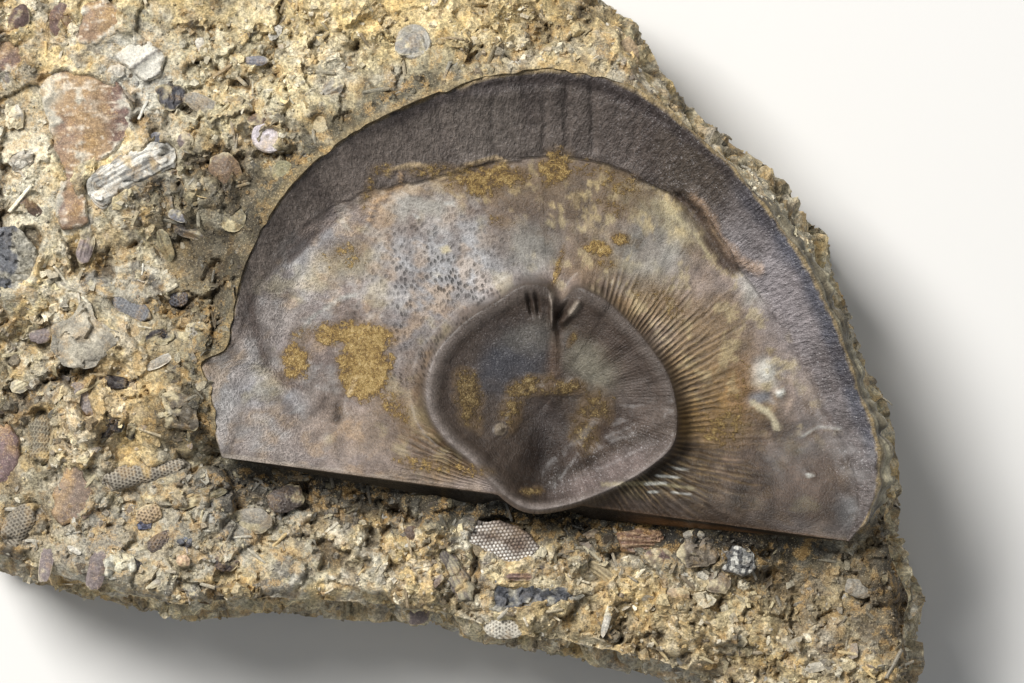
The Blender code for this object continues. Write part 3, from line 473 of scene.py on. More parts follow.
# Creases and ridges of the valve outside the muscle field: points (u, v), half width, height.
VALVE_STROKES = (
    (((-20.0, 9.2), (-19.1, 7.2), (-18.2, 5.6), (-16.8, 4.5), (-14.6, 4.0)), 0.7, 0.28),
    (((-17.3, 12.7), (-16.0, 14.5), (-14.6, 15.9)), 0.32, -0.14),
    (((-16.4, 15.0), (-15.1, 15.9), (-14.5, 16.3)), 0.2, -0.12),
    (((7.2, 20.2), (8.5, 18.9), (9.6, 17.4), (10.7, 16.5), (11.9, 16.1)), 0.5, 0.34),
    (((6.5, 20.0), (7.7, 18.9), (8.6, 17.8), (9.7, 16.4), (10.6, 15.8)), 0.34, -0.42),
    (PEELED_TOP, 0.12, 0.09),
    (PEELED_SIDE, 0.12, 0.09),
    (tuple((u + 0.25, v - 0.2) for u, v in PEELED_TOP), 0.16, -0.09),
    (tuple((u + 0.25, v) for u, v in PEELED_SIDE), 0.16, -0.09),
    (((13.1, 9.9), (13.4, 9.6)), 0.6, 0.2),
    (((12.7, 8.2), (13.6, 8.2)), 0.4, -0.25),
    (((14.2, 8.6), (14.4, 8.65)), 0.22, 0.25),
    (((16.8, 3.8), (16.9, 3.8)), 0.15, 0.18),
    (((16.0, 6.1), (16.9, 6.8), (18.3, 6.9)), 0.1, 0.04),
    (((-16.6, 7.9), (-15.9, 8.6), (-14.6, 10.3)), 0.1, -0.12),
    (((-16.2, 8.2), (-15.3, 9.6), (-13.8, 10.9), (-12.9, 11.2)), 0.14, 0.08),
    (((-12.7, 3.2), (-12.9, 4.6), (-12.4, 6.2)), 0.16, -0.16),
    (((-2.8, 25.2), (-2.5, 23.2), (-2.4, 21.6)), 0.2, -0.22),
    (((-1.5, 26.0), (-1.2, 23.6), (-1.0, 21.8)), 0.18, -0.24),
    (((0.0, 26.2), (0.4, 24.0), (0.7, 22.2)), 0.22, -0.26),
    (((-6.0, 24.4), (-5.4, 20.8)), 0.2, -0.14),
    (((-9.2, 23.4), (-8.4, 20.4)), 0.2, -0.1),
    (((3.1, 25.6), (3.2, 23.4), (2.9, 21.8)), 0.25, -0.14),
    (((-7.4, 24.9), (-4.6, 25.6), (-2.0, 26.0), (1.4, 25.7), (5.0, 24.4)), 0.16, -0.16),
    (((-7.0, 24.4), (-4.4, 25.0), (-2.0, 25.4)), 0.3, 0.1),
    (((-7.8, 20.0), (-6.4, 20.7), (-4.2, 20.2), (-3.0, 20.9), (-0.6, 21.6), (2.0, 21.5), (4.6, 20.6)), 0.3, 0.1),
)

# --------------------------------------------------------------------------------------------------------------------
# Colours of the rock.

CREAM = (222, 208, 168)
PALE_CREAM = (226, 219, 198)
OCHRE = (196, 168, 114)
BRIGHT_OCHRE = (212, 180, 110)
GREY = (152, 147, 134)
PALE_GREY = (184, 180, 168)
DARK_GREY = (88, 86, 86)
ROCK_BROWN = (118, 100, 80)
GREEN_GREY = (122, 115, 94)
LILAC_GREY = (140, 130, 126)
CLAST_COLOURS = (CREAM, PALE_CREAM, OCHRE, GREY, PALE_GREY, DARK_GREY, ROCK_BROWN, GREEN_GREY)

# Broad tints of the rock, some of them painted shade as marked: colour, strength, middle (x, y), half sizes, turn in
# degrees, softness.
ROCK_ZONES = (
    ((224, 198, 136), 0.6, (0.0, 21.5), (9.0, 3.2), 0, 0.6),
    ((218, 208, 172), 0.5, (-13.0, 17.0), (5.0, 4.0), 20, 0.7),
    ((204, 202, 192), 0.75, (-18.4, 16.2), (2.2, 3.0), 30, 0.5),
    ((214, 208, 188), 0.7, (-26.0, 11.0), (2.0, 5.0), 5, 0.6),
    ((98, 93, 80), 0.8, (-15.8, -4.8), (2.6, 1.9), 10, 0.5),
    ((204, 172, 110), 0.5, (-19.5, -4.0), (3.0, 3.6), 0, 0.7),
    ((128, 124, 116), 0.5, (-12.0, -11.5), (5.0, 1.6), -6, 0.7),
    # The next two are painted shadow under the hinge, on its right and on its left.
    ((66, 56, 42), 0.8, (13.5, -12.4), (7.5, 1.3), -7, 0.6),
    ((84, 74, 58), 0.65, (-6.0, -9.8), (9.0, 1.0), -7, 0.6),
    # Painted shade on the right, where the slab falls away.
    ((80, 71, 55), 0.8, (27.6, -8.0), (2.2, 9.0), 12, 0.5),
    ((106, 90, 66), 0.65, (26.0, -17.0), (4.6, 4.0), 0, 0.6),
    ((196, 170, 118), 0.5, (12.0, -17.6), (9.0, 2.6), -8, 0.7),
    ((148, 138, 116), 0.5, (22.0, 9.4), (2.2, 6.0), 40, 0.6),
    ((206, 168, 108), 0.5, (13.4, 18.2), (1.2, 3.0), 25, 0.6),
    # Painted shade on the right where the slab falls away, then painted shadow under the hinge on its right.
    ((54, 47, 36), 0.6, (28.4, -15.0), (2.6, 4.0), 10, 0.7),
    ((72, 64, 50), 0.35, (19.0, -14.2), (4.5, 2.6), -10, 0.7),
    ((116, 104, 80), 0.3, (-14.8, 1.6), (1.6, 3.4), 0, 0.7),
    ((138, 134, 124), 0.6, (-20.0, -13.0), (6.0, 2.6), -12, 0.7),
    ((120, 100, 78), 0.55, (-13.2, 10.7), (1.4, 1.6), 20, 0.6),
    ((128, 126, 120), 0.5, (-13.0, -9.2), (5.5, 1.6), -6, 0.7),
    ((66, 58, 48), 0.7, (-16.4, -4.6), (1.8, 1.4), 0, 0.6),
)


def linear(colour):
    """An sRGB colour of 0 to 255 as linear light."""
    share = np.asarray(colour, float) / 255
    return np.where(share <= 0.04045, share / 12.92, ((share + 0.055) / 1.055) ** 2.4)


def mix(first, second, share):
    share = np.asarray(share)[..., None]
    return first * (1 - share) + np.asarray(second) * share


def plain(colour, like):
    """One sRGB colour for every point of an array."""
    return np.broadcast_to(linear(colour), (*np.shape(like), 3))


def paint(tint, colour, share):
    """The tint with a share of an sRGB colour laid over it."""
    return mix(tint, linear(colour), share)


def toned(tint, change):
    """The tint made lighter, or darker where the change is negative."""
    return tint * (1 + change)[..., None]


def smoothstep(low, high, value):
    share = np.clip((value - low) / (high - low), 0, 1)
    return share * share * (3 - 2 * share)


def profile(knots, angle):
    """The knots' value at an angle, on a smooth curve through them."""
    at, value = np.array(knots, float).T
    slope = np.gradient(value, at)
    place = np.clip(np.searchsorted(at, angle, side="right") - 1, 0, len(at) - 2)
    span = at[place + 1] - at[place]
    share = np.clip((angle - at[place]) / span, 0, 1)
    rise = value[place + 1] - value[place]
    start, end = slope[place] * span, slope[place + 1] * span
    return value[place] + share * (start + share * (3 * rise - 2 * start - end + share * (start + end - 2 * rise)))


def lattice(column, row, seed):
    """A repeatable number from 0 to 1 for each point of a whole-numbered grid."""
    mixed = (column * 374761393 + row * 668265263 + seed * 974711) & 0xFFFFFFFF
    mixed = ((mixed ^ (mixed >> 13)) * 1274126177) & 0xFFFFFFFF
    return ((mixed ^ (mixed >> 16)) & 0xFFFF) / 65535.0


def bumps(x, y, size, seed):
    """Smooth random height from -1 to 1, with lumps of about the given size."""
    column, row = np.floor(x / size).astype(np.int64), np.floor(y / size).astype(np.int64)
    across, along = smoothstep(0, 1, x / size - column), smoothstep(0, 1, y / size - row)
    low = lattice(column, row, seed) * (1 - across) + lattice(column + 1, row, seed) * across
    high = lattice(column, row + 1, seed) * (1 - across) + lattice(column + 1, row + 1, seed) * across
    return 2 * (low * (1 - along) + high * along) - 1


def rough(x, y, size, seed, layers=3):
    """Random height from about -1 to 1 with finer and finer lumps, each layer turned against the last."""
    total, weight = 0.0, 1.0
    for layer in range(layers):
        total = total + weight * bumps(x, y, size, seed + layer)
        x, y = 0.8 * x - 0.6 * y, 0.6 * x + 0.8 * y
        size, weight = size * 0.48, weight * 0.55
    return total / 1.5


def patches(x, y, size, seed, low, high, layers=3):
    """Soft-edged random patches: 0 where the roughness is under low, 1 where it is over high."""
    return smoothstep(low, high, rough(x, y, size, seed, layers))


def shards(x, y, size, seed):
    """For each point, the broken bit it lies in: offset from its middle, share of the way to its edge, its number."""
    column, row = np.floor(x / size).astype(np.int64), np.floor(y / size).astype(np.int64)
    first = np.full(np.shape(x), np.inf)
    second, middle_x, middle_y, number = first.copy(), first.copy(), first.copy(), first.copy()
    for step_c in (-1, 0, 1):
        for step_r in (-1, 0, 1):
            at_c, at_r = column + step_c, row + step_r
            point_x = (at_c + 0.08 + 0.84 * lattice(at_c, at_r, seed)) * size
            point_y = (at_r + 0.08 + 0.84 * lattice(at_c, at_r, seed + 1)) * size
            away = np.hypot(x - point_x, y - point_y)
            nearer = away < first
            second = np.where(nearer, first, np.minimum(second, away))
            first = np.where(nearer, away, first)
            middle_x, middle_y = np.where(nearer, point_x, middle_x), np.where(nearer, point_y, middle_y)
            number = np.where(nearer, lattice(at_c, at_r, seed + 2), number)
    return x - middle_x, y - middle_y, (second - first) / size, number


def tilted(x, y, size, seed, tilt, step):
    """Height of broken bits that lie at odd angles, each a facet of its own, with cracks between them."""
    off_x, off_y, gap, number = shards(x, y, size, seed)
    turn = math.tau * 7.3 * number
    facet = tilt * (off_x * np.cos(turn) + off_y * np.sin(turn)) + step * (2 * ((number * 5.7) % 1) - 1)
    return facet - 0.35 * step * smoothstep(0.1, 0.0, gap), gap, number


def to_slab(points):
    """Points in the valve's u and v, as x and y of the slab."""
    cosine, sine = math.cos(HINGE_TURN), math.sin(HINGE_TURN)
    u, v = points[..., 0], points[..., 1]
    return np.stack((HINGE_MIDDLE[0] + u * cosine - v * sine, HINGE_MIDDLE[1] + u * sine + v * cosine), axis=-1)


def to_valve(x, y):
    cosine, sine = math.cos(HINGE_TURN), math.sin(HINGE_TURN)
    x, y = x - HINGE_MIDDLE[0], y - HINGE_MIDDLE[1]
    return x * cosine + y * sine, y * cosine - x * sine


def hinge_angle(u, v):
    return np.degrees(np.arctan2(np.maximum(v, 0), u))


def trail_share(u, v):
    """Where a point is across the steep rim of the valve: 0 at the fold that starts it, 1 at the edge."""
    angle = hinge_angle(u, v)
    return (np.hypot(u, v) - profile(VALVE_REACH, angle)) / profile(TRAIL_WIDTH, angle) + 1


def disc_height(u, v):
    """Height of the valve's inner face above the hinge edge, without the muscle field."""
    angle, across = hinge_angle(u, v), trail_share(u, v)
    ear = smoothstep(12.5, 19, np.abs(u)) * (1 - smoothstep(3, 10, v))
    dip = DISC_DIP * smoothstep(0, 6, v) * (1 - 0.75 * ear)
    trail = profile(TRAIL_RISE, angle) * np.clip(across, 0, 1.2) ** 1.25
    fold = FOLD_STEP * side_of(angle, 92, 30, 16)
    return trail - dip + fold * smoothstep(-0.04, 0.04, across) - FOLD_STEP


def distance_to_path(u, v, path):
    """Shortest distance from each point to a line of straight stretches."""
    nearest = np.full(np.shape(u), np.inf)
    for (u0, v0), (u1, v1) in zip(path, path[1:]):
        du, dv = u1 - u0, v1 - v0
        share = np.clip(((u - u0) * du + (v - v0) * dv) / (du * du + dv * dv), 0, 1)
        nearest = np.minimum(nearest, np.hypot(u - u0 - share * du, v - v0 - share * dv))
    return nearest


def cup_place(u, v):
    """Angle in degrees and distance from the muscle field's centre, and the distance of its rim that way."""
    angle = np.degrees(np.arctan2(v - CUP_CENTRE[1], u - CUP_CENTRE[0])) % 360
    return angle, np.hypot(u - CUP_CENTRE[0], v - CUP_CENTRE[1]), profile(CUP_REACH, angle)


def side_of(angle, middle, half, soft):
    """1 within half degrees of the middle angle, falling to 0 over soft degrees more."""
    return smoothstep(half + soft, half, np.abs((angle - middle + 180) % 360 - 180))


def u_of(angle, distance):
    return CUP_CENTRE[0] + distance * np.cos(np.radians(angle))


def v_of(angle, distance):
    return CUP_CENTRE[1] + distance * np.sin(np.radians(angle))


def spokes_at(angle, distance, reach):
    """The fine ribs round the muscle field: their strength, their height from -1 to 1, and their count so far."""
    out, turn = distance - reach, (angle - 100) % 360
    clear_of_rim = smoothstep(0.0, 0.2 + 0.7 * side_of(angle, 160, 70, 15), out)
    uneven = 1 + 0.3 * bumps(turn / 3.1, 0 * turn, 1, 41)
    strength = smoothstep(1.0, 0.12, uneven * out / profile(SPOKE_LENGTH, angle)) * clear_of_rim * np.interp(angle,
        *zip(*RIB_DEPTH))
    strength = strength * (1 - 0.8 * side_of(angle, 182, 14, 14))
    swept = turn - 14 * side_of(angle, 30, 35, 30) * np.log(np.maximum(distance / reach, 1))
    from_hinge = hinge_angle(u_of(angle, distance), v_of(angle, distance))
    count = np.where((angle > 100) & (angle < 270), from_hinge / LEFT_RIB, np.interp(swept, *zip(*RIB_COUNT)))
    count = count + 0.35 * bumps(swept / 7, distance / 2.4, 1, 29) + 0.17 * bumps(swept / 2.6, distance / 0.9, 1, 40)
    beads = 0.4 * bumps(count / 0.6, distance / 0.5, 1, 34)
    outer = smoothstep(9.3, 10.6, distance + 0.8 * bumps(turn / 12, 0 * turn, 1, 38))
    waves = (1 - outer) * np.sin(math.tau * count) + outer * np.sin(1.5 * math.tau * count)
    patchy = np.clip(0.65 + 0.8 * bumps(turn / 6, distance / 1.8, 1, 35), 0.05, 1.2)
    roughness = 0.25 * rough(u_of(angle, distance), v_of(angle, distance), 0.5, 39)
    return strength, 0.7 * waves * patchy + beads + roughness, count


def inner_height(u, v):
    """Height of the valve's whole inner face above the hinge edge, with its fine relief."""
    angle, distance, reach = cup_place(u, v)
    hinge, radius, across = hinge_angle(u, v), np.hypot(u, v), trail_share(u, v)
    turn = (angle - 100) % 360
    crest = profile(CUP_CREST, angle) + 0.05 * bumps(turn / 7, 0 * angle, 1, 21) + 0.03 * bumps(turn / 2.6, 0 * angle,
        1, 20)
    share = distance / reach
    bowl = CUP_FLOOR + (crest - CUP_FLOOR) * np.minimum(share, 1) ** profile(CUP_STEEPNESS, angle)
    inside = smoothstep(1.0, 0.88, share)
    for path, half_width, height in CUP_STROKES:
        bowl = bowl + inside * height * np.exp(-((distance_to_path(u, v, path) / half_width) ** 2))
    fans = side_of(angle, 345, 60, 30) * smoothstep(0.4, 0.75, share) * inside
    bowl = bowl + fans * (0.1 * bumps(turn / 7, distance / 3.5, 1, 22) + 0.02
                          * bumps(turn / 3.1, distance / 2, 1, 30))
    bowl = bowl + inside * (0.05 * rough(u, v, 1.3, 23) + 0.025 * rough(u, v, 0.4, 24))
    lip = smoothstep(0.85, 0.92, share + 0.012 * bumps(turn / 5, 0 * turn, 1, 37))
    bowl = bowl - 0.17 * (1 - lip) * side_of(angle, 120, 110, 30) - 0.1 * smoothstep(0.955, 1.0, share)

    disc = disc_height(u, v)
    on_trail = smoothstep(-0.05, 0.2, across)
    for path, half_width, height in VALVE_STROKES:
        disc = disc + height * np.exp(-((distance_to_path(u, v, path) / half_width) ** 2))
    disc = disc + (1 - on_trail) * (0.07 * rough(u, v, 2.2, 25) + 0.02 * rough(u, v, 0.45, 33))
    pleats = side_of(hinge, 92, 46, 24)
    disc = disc + on_trail * pleats * (0.08 * bumps(hinge / 2.6, radius / 5, 1, 26) + 0.03
                                       * bumps(hinge / 1.1, radius / 2.5, 1, 27))
    disc = disc + on_trail * (0.05 * rough(u, v, 0.9, 28) + 0.03 * rough(u, v, 0.42, 36))
    strength, ribs, _ = spokes_at(angle, distance, reach)
    disc = disc + 0.055 * strength * ribs
    shoulder = 0.15 + 0.5 * smoothstep(0, 4, u) * smoothstep(19, 12, u)
    disc = disc - shoulder * (1 - smoothstep(-0.3, 1.6, v))
    out = np.maximum(distance - reach, 0)
    wall = disc + (crest - 0.08 - disc) * np.exp(-((out / 0.42) ** 1.5))
    return np.where(share <= 1, bowl, wall)


def rock_level(x, y):
    """Height of the slab's top face, without its lumps and pits."""
    u, v = to_valve(x, y)
    angle = hinge_angle(u, v)
    clear = np.maximum(np.hypot(u, v) - profile(VALVE_REACH, angle), 0)
    level = SLAB_LEVEL + SLAB_SLOPE * y
    rim = HINGE_LEVEL + disc_height(*(part * profile(VALVE_REACH, angle) for part in unit(u, v))) - 0.1
    rim = rim + 0.3 * side_of(angle, 142, 26, 12)
    beside = level + (rim - level) * np.exp(-clear / BANK_RUN)
    beside = beside - (0.35 + RIGHT_FALL * clear) * smoothstep(100, 60, angle)
    near_hinge = np.exp(-np.maximum(-v, 0) / 4) * (1 - smoothstep(18, 23, np.abs(u)))
    below = SLAB_LEVEL - 0.5 + (HINGE_LEVEL - BELOW_HINGE - SLAB_LEVEL + 0.5) * near_hinge
    return below + (beside - below) * smoothstep(-0.8, 1.8, v)


def unit(u, v):
    """The direction from the hinge's middle, kept on the valve's side of the hinge."""
    v = np.maximum(v, 0)
    length = np.maximum(np.hypot(u, v), 1e-6)
    return u / length, v / length


def valve_clearance(x, y):
    """Distance outside the valve's edge, measured from the hinge's middle; negative over the valve."""
    u, v = to_valve(x, y)
    beside = np.hypot(u, v) - profile(VALVE_REACH, hinge_angle(u, v))
    return np.where(v < 0, np.maximum(-v, np.abs(u) - HINGE_HALF), beside)


def rock_height(x, y):
    """Height of the slab's top face above its bedding plane, without its fine relief."""
    u, v = to_valve(x, y)
    clear = np.hypot(u, v) - profile(VALVE_REACH, hinge_angle(u, v))
    lumps = 0.8 * bumps(x, y, 5.2, 3) + 0.6 * bumps(x, y, 2.8, 8)
    height = rock_level(x, y) + lumps * np.where(v < 0, 0.8, 0.15 + 0.85 * smoothstep(0.3, 2.0, clear))
    for pit_x, pit_y, radius, depth in PITS:
        height = height - depth * np.exp(-(((x - pit_x) ** 2 + (y - pit_y) ** 2) / radius**2))
    return height


def polygon_clearance(x, y, outline):
    """Distance outside a closed outline; negative inside."""
    inside = np.zeros(np.shape(x), bool)
    for (x0, y0), (x1, y1) in zip(outline, (*outline[1:], outline[0])):
        crosses = (y0 > y) != (y1 > y)
        with np.errstate(divide="ignore", invalid="ignore"):
            inside ^= crosses & (x < (x1 - x0) * (y - y0) / (y1 - y0) + x0)
    distance = distance_to_path(x, y, (*outline, outline[0]))
    return np.where(inside, -distance, distance)


def embedded_footprints():
    """(kind, outline or axis, radius, level of its seat) of every fossil sunk in the slab."""
    found = []
    for _, outline, proud, _ in PLATES:
        level = rock_height(*np.array(outline).mean(axis=0)) + proud
        found.append(("plate", outline, 0.0, float(level) - 0.35))
    for _, start, end, radius in BRANCHES:
        level = rock_height(*(np.add(start, end) / 2)) - BRANCH_SUNK
        found.append(("branch", (start, end), radius, float(level)))
    for _, centre, radius in COLUMNALS:
        found.append(("branch", (centre, (centre[0] + 0.01, centre[1])), radius, float(rock_height(*centre)) + 0.1))
    return found


def footprint_gap(x, y, kind, shape, radius):
    """Distance outside a sunk fossil's footprint; negative inside."""
    return polygon_clearance(x, y, shape) if kind == "plate" else distance_to_path(x, y, shape) - radius


def rubble_share(x, y):
    """How broken the rock is: near 0 in smooth clay, 1 in rubble."""
    return smoothstep(-0.3, 0.35, rough(x, y, 4.6, 33) + 0.3 * smoothstep(8, -6, y) - 0.05)


def rock_surface(x, y):
    """(height, tint, dust) of the slab's top face with its fine relief, seats and cracks."""
    height = rock_height(x, y)
    clear = valve_clearance(x, y)
    u, v = to_valve(x, y)
    warp_x = x + 0.45 * bumps(x, y, 1.5, 31) + 0.2 * bumps(x, y, 0.6, 37)
    warp_y = y + 0.45 * bumps(x, y, 1.5, 32) + 0.2 * bumps(x, y, 0.6, 38)
    rubble = rubble_share(x, y)
    near = smoothstep(0.0, 1.2, clear)
    big, big_gap, big_number = tilted(warp_x, warp_y, 2.7, 41, 0.3, 0.34)
    mid, mid_gap, mid_number = tilted(warp_x, warp_y, 1.15, 45, 0.36, 0.17)
    small, _, small_number = tilted(x, y, 0.5, 49, 0.36, 0.07)
    detail = big * near * (0.45 + 0.55 * rubble) + mid * (0.25 + 0.75 * near) * (0.2 + 0.8 * rubble) + small * rubble
    height = height + detail + (0.22 * rough(warp_x, warp_y, 1.5, 53, 5)) * (0.35 + 0.65 * near)
    hole = patches(x, y, 2.3, 59, 0.42, 0.72, 4) * near
    height = height - 0.75 * hole
    crack = np.maximum(rubble * (0.7 * smoothstep(0.12, 0, mid_gap)), 0.8 * smoothstep(0.1, 0, big_gap)
                       * (0.3 + 0.7 * rubble))

    tint = rock_tint(x, y, big_number, mid_number, small_number)
    tint = zoned(tint, x, y, ROCK_ZONES, 500)
    near_edge = clear + 0.6 * bumps(x, y, 1.1, 54)
    cement = side_of(hinge_angle(u, v), 142, 30, 14) * smoothstep(4.2, 0.8, near_edge) * (v > 0)
    tint = paint(tint, (84, 78, 62), 0.9 * cement * (1 - 0.35 * (mid_number > 0.7)))
    lip = smoothstep(0.5, 0.1, clear + 0.3 * bumps(x, y, 0.8, 55)) * (v > 0) * side_of(hinge_angle(u, v), 135, 42, 10)
    tint = paint(tint, (150, 132, 96), 0.6 * lip)
    tint = paint(tint, (84, 66, 44), 0.65 * crack)
    # Painted shade in the hollows, where the top lies below its mean level.
    hollow_painted_shade = smoothstep(-0.15, -0.9, height - rock_level(x, y) + 0.25 * bumps(x, y, 2.0, 56))
    tint = paint(tint, (92, 76, 52), 0.5 * hollow_painted_shade)
    # Painted shadow under the hinge: a broad darkening, then a darker band just under its edge.
    under = smoothstep(-3.6, -1.2, v) * (v < 0.3) * smoothstep(21, 18, np.abs(u + 0.5))
    tint = toned(tint, -0.5 * under)
    shadow = smoothstep(-2.1, -1.2, v + 0.3 * bumps(x, y, 1.2, 64)) * (v < 0.3) * smoothstep(21, 18, np.abs(u + 0.5))
    tint = toned(tint, -0.7 * shadow)
    layered = smoothstep(1.3, 0.7, clear + 0.6 * bumps(x, y, 0.9, 65)) * side_of(hinge_angle(u, v), 36, 26,
        8) * (v > 0.5)
    tint = paint(tint, (204, 196, 172), 0.7 * layered)
    height = height + 0.15 * layered
    dull = zone_share(x, y, (-13.6, 7.2), (3.4, 5.0), 24, 0.6, 560)
    tint = paint(tint, (66, 59, 46), 0.9 * dull * (1 - 0.3 * (mid_number > 0.7)))
    # Painted shade in the holes.
    tint = paint(tint, (70, 56, 38), 0.7 * hole)
    for kind, shape, radius, level in embedded_footprints():
        box = np.array(shape)
        near_it = np.all([x > box[:, 0].min() - radius - 1, x < box[:, 0].max() + radius + 1,
                          y > box[:, 1].min() - radius - 1, y < box[:, 1].max() + radius + 1], axis=0)  # fmt: skip
        if not near_it.any():
            continue
        px, py = x[near_it], y[near_it]
        ragged = (0.3 if kind == "plate" else 0.16) * rough(px, py, 1.1, 57, 4)
        gap = footprint_gap(px, py, kind, shape, radius) + ragged
        open_rock = smoothstep(-0.62, -0.3, gap)
        sunk = np.minimum(height[near_it], level - 0.25)
        bank = 0.3 * np.exp(-(((gap + 0.05) / 0.45) ** 2)) * np.clip(0.5 + rough(px, py, 1.4, 62), 0, 1)
        height[near_it] = sunk + (height[near_it] + bank - sunk) * open_rock
        # Painted shade in a broken dark line round the foot of each sunk fossil.
        shade = 0.4 * smoothstep(0.2, 0.0, np.abs(gap + 0.15)) * patches(px, py, 1.2, 63, -0.3, 0.3)
        tint[near_it] = mix(tint[near_it], linear((84, 70, 50)), shade)
    return height, tint, np.clip(0.5 + 0.5 * rough(x, y, 3.0, 58), 0, 1) * (1 - 0.9 * dull)


def rock_tint(x, y, big, mid, small):
    """Colour of the rock: cream and ochre cement with grey, brown and dark bits in it."""
    warm = patches(x, y, 4.0, 61, -0.5, 0.5)
    tint = paint(plain(GREY, x), CREAM, 0.45 + 0.55 * warm)
    tint = paint(tint, OCHRE, 0.6 * smoothstep(-0.1, 0.5, rough(x, y, 2.6, 64) + 0.05))
    tint = paint(tint, BRIGHT_OCHRE, 0.45 * patches(x, y, 1.8, 67, 0.2, 0.6))
    tint = paint(tint, GREY, 0.65 * patches(x, y, 3.1, 70, 0.0, 0.45))
    tint = paint(tint, (230, 224, 206), 0.55 * patches(x, y, 1.5, 74, 0.2, 0.55, 5))
    for number, share, strength in ((big, 0.3, 0.45), (mid, 0.42, 0.6), (small, 0.4, 0.45)):
        for index, colour in enumerate(CLAST_COLOURS):
            low = index * share / len(CLAST_COLOURS)
            tint = paint(tint, colour, strength * ((number > low) & (number <= low + share / len(CLAST_COLOURS))))
    tint = paint(tint, (74, 62, 48), 0.5 * patches(x, y, 0.9, 78, 0.4, 0.8, 4))
    return toned(tint, 0.2 * rough(x, y, 0.6, 73, 3))


# --------------------------------------------------------------------------------------------------------------------
# Meshes.


def make_mesh(name, points, faces, look, fields, smooth=True, sharp=None):
    """An object from points in millimetres, faces with equal numbers of corners, and named fields on its points."""
    mesh = bpy.data.meshes.new(name)
    mesh.vertices.add(len(points))
    mesh.vertices.foreach_set("co", (np.asarray(points, float) * METRES).ravel())
    corners = np.concatenate([np.asarray(group).ravel() for group in faces])
    sizes = np.concatenate([np.full(len(group), np.shape(group)[1]) for group in faces])
    mesh.loops.add(len(corners))
    mesh.loops.foreach_set("vertex_index", corners)
    mesh.polygons.add(len(sizes))
    mesh.polygons.foreach_set("loop_start", np.concatenate(((0,), np.cumsum(sizes)[:-1])))
    mesh.update(calc_edges=True)
    mesh.validate()
    for field, values in fields.items():
        values = np.asarray(values, float)
        if values.ndim == 1:
            mesh.attributes.new(field, "FLOAT", "POINT").data.foreach_set("value", values)
        elif field == "tint":
            colours = np.column_stack((np.clip(values, 0, 1), np.ones(len(values))))
            mesh.attributes.new(field, "FLOAT_COLOR", "POINT").data.foreach_set("color", colours.ravel())
        else:
            mesh.attributes.new(field, "FLOAT_VECTOR", "POINT").data.foreach_set("vector", values.ravel())
    if smooth:
        mesh.shade_smooth()
        if sharp:
            mesh.set_sharp_from_angle(angle=math.radians(sharp))
    else:
        mesh.shade_flat()
    mesh.materials.append(look)
    piece = bpy.data.objects.new(name, mesh)
    bpy.context.scene.collection.objects.link(piece)
    return piece


def band_faces(low, high, around):
    """Quads between two rings of points, given the index that each ring starts at."""
    step = np.arange(around)
    after = (step + 1) % around
    return np.stack((low + step, high + step, high + after, low + after), axis=-1)


def ring_faces(rings, around, start=0):
    """Quads between rings of points that follow each other from a start index."""
    starts = start + around * np.arange(rings)
    return np.vstack([band_faces(low, high, around) for low, high in zip(starts, starts[1:])])


def fan_faces(tip, ring_start, around, outwards=True):
    """Triangles from a tip to the ring of points that starts at an index."""
    step = np.arange(around)
    after = (step + 1) % around
    sides = (step, after) if outwards else (after, step)
    return np.stack((np.full(around, tip), ring_start + sides[0], ring_start + sides[1]), axis=-1)


def tube_faces(rings, around, tips, start=0):
    """The skin of a closed tube: quads between its rings, and a fan from a tip at each end."""
    return [ring_faces(rings, around, start), fan_faces(tips[0], start, around),
            fan_faces(tips[1], start + (rings - 1) * around, around, outwards=False)]  # fmt: skip


def filled(points, loops, keep):
    """Triangles over flat points whose closed loops, given as index arrays, are edges; keep(x, y) says where."""
    edges = [(int(a), int(b)) for loop in loops for a, b in zip(loop, np.roll(loop, -1))]
    made = delaunay_2d_cdt([tuple(point) for point in points], edges, [], 0, 1e-7)
    origin = np.array([ids[0] if ids else -1 for ids in made[3]])
    faces = origin[np.array([face for face in made[2] if len(face) == 3])]
    faces = faces[(faces >= 0).all(axis=1)]
    middles = np.asarray(points)[faces].mean(axis=1)
    return faces[keep(*middles.T)]


def scattered(low, high, spacing, seed):
    """Points on a jittered honeycomb over a box."""
    rows = np.arange(low[1], high[1], spacing * 0.866)
    columns = np.arange(low[0], high[0], spacing)
    x, y = np.meshgrid(columns, rows)
    x = x + np.where(np.arange(len(rows)) % 2, spacing / 2, 0)[:, None]
    shake = np.random.default_rng(seed).uniform(-0.22, 0.22, (2, *x.shape)) * spacing
    return np.stack((x + shake[0], y + shake[1]), axis=-1).reshape(-1, 2)


def evenly(loop, count):
    """The closed loop with points at even distances along it."""
    closed = np.vstack((loop, loop[:1]))
    run = np.concatenate(((0,), np.cumsum(np.hypot(*np.diff(closed, axis=0).T))))
    at = np.linspace(0, run[-1], count, endpoint=False)
    return np.stack([np.interp(at, run, part) for part in closed.T], axis=-1)


def outwards_of(loop, apart=1):
    """Unit normals of a closed loop that runs anticlockwise, each from the points so many steps to either side."""
    side = np.roll(loop, -apart, axis=0) - np.roll(loop, apart, axis=0)
    return np.stack((side[:, 1], -side[:, 0]), axis=1) / np.hypot(*side.T)[:, None]


# --------------------------------------------------------------------------------------------------------------------
# The valve.


def reach_of(outline, centre, directions):
    """How far each ray from the centre runs before it meets the outline."""
    start = np.array(outline) - centre
    side = np.roll(start, -1, axis=0) - start
    ray = np.stack((np.cos(directions), np.sin(directions)), axis=1)[:, None, :]
    cross = ray[..., 0] * side[:, 1] - ray[..., 1] * side[:, 0]
    with np.errstate(divide="ignore", invalid="ignore"):
        along = (start[:, 0] * side[:, 1] - start[:, 1] * side[:, 0]) / cross
        share = (start[:, 0] * ray[..., 1] - start[:, 1] * ray[..., 0]) / cross
    hit = (along > 0) & (share >= -1e-9) & (share <= 1 + 1e-9)
    return np.where(hit, along, -np.inf).max(axis=1)


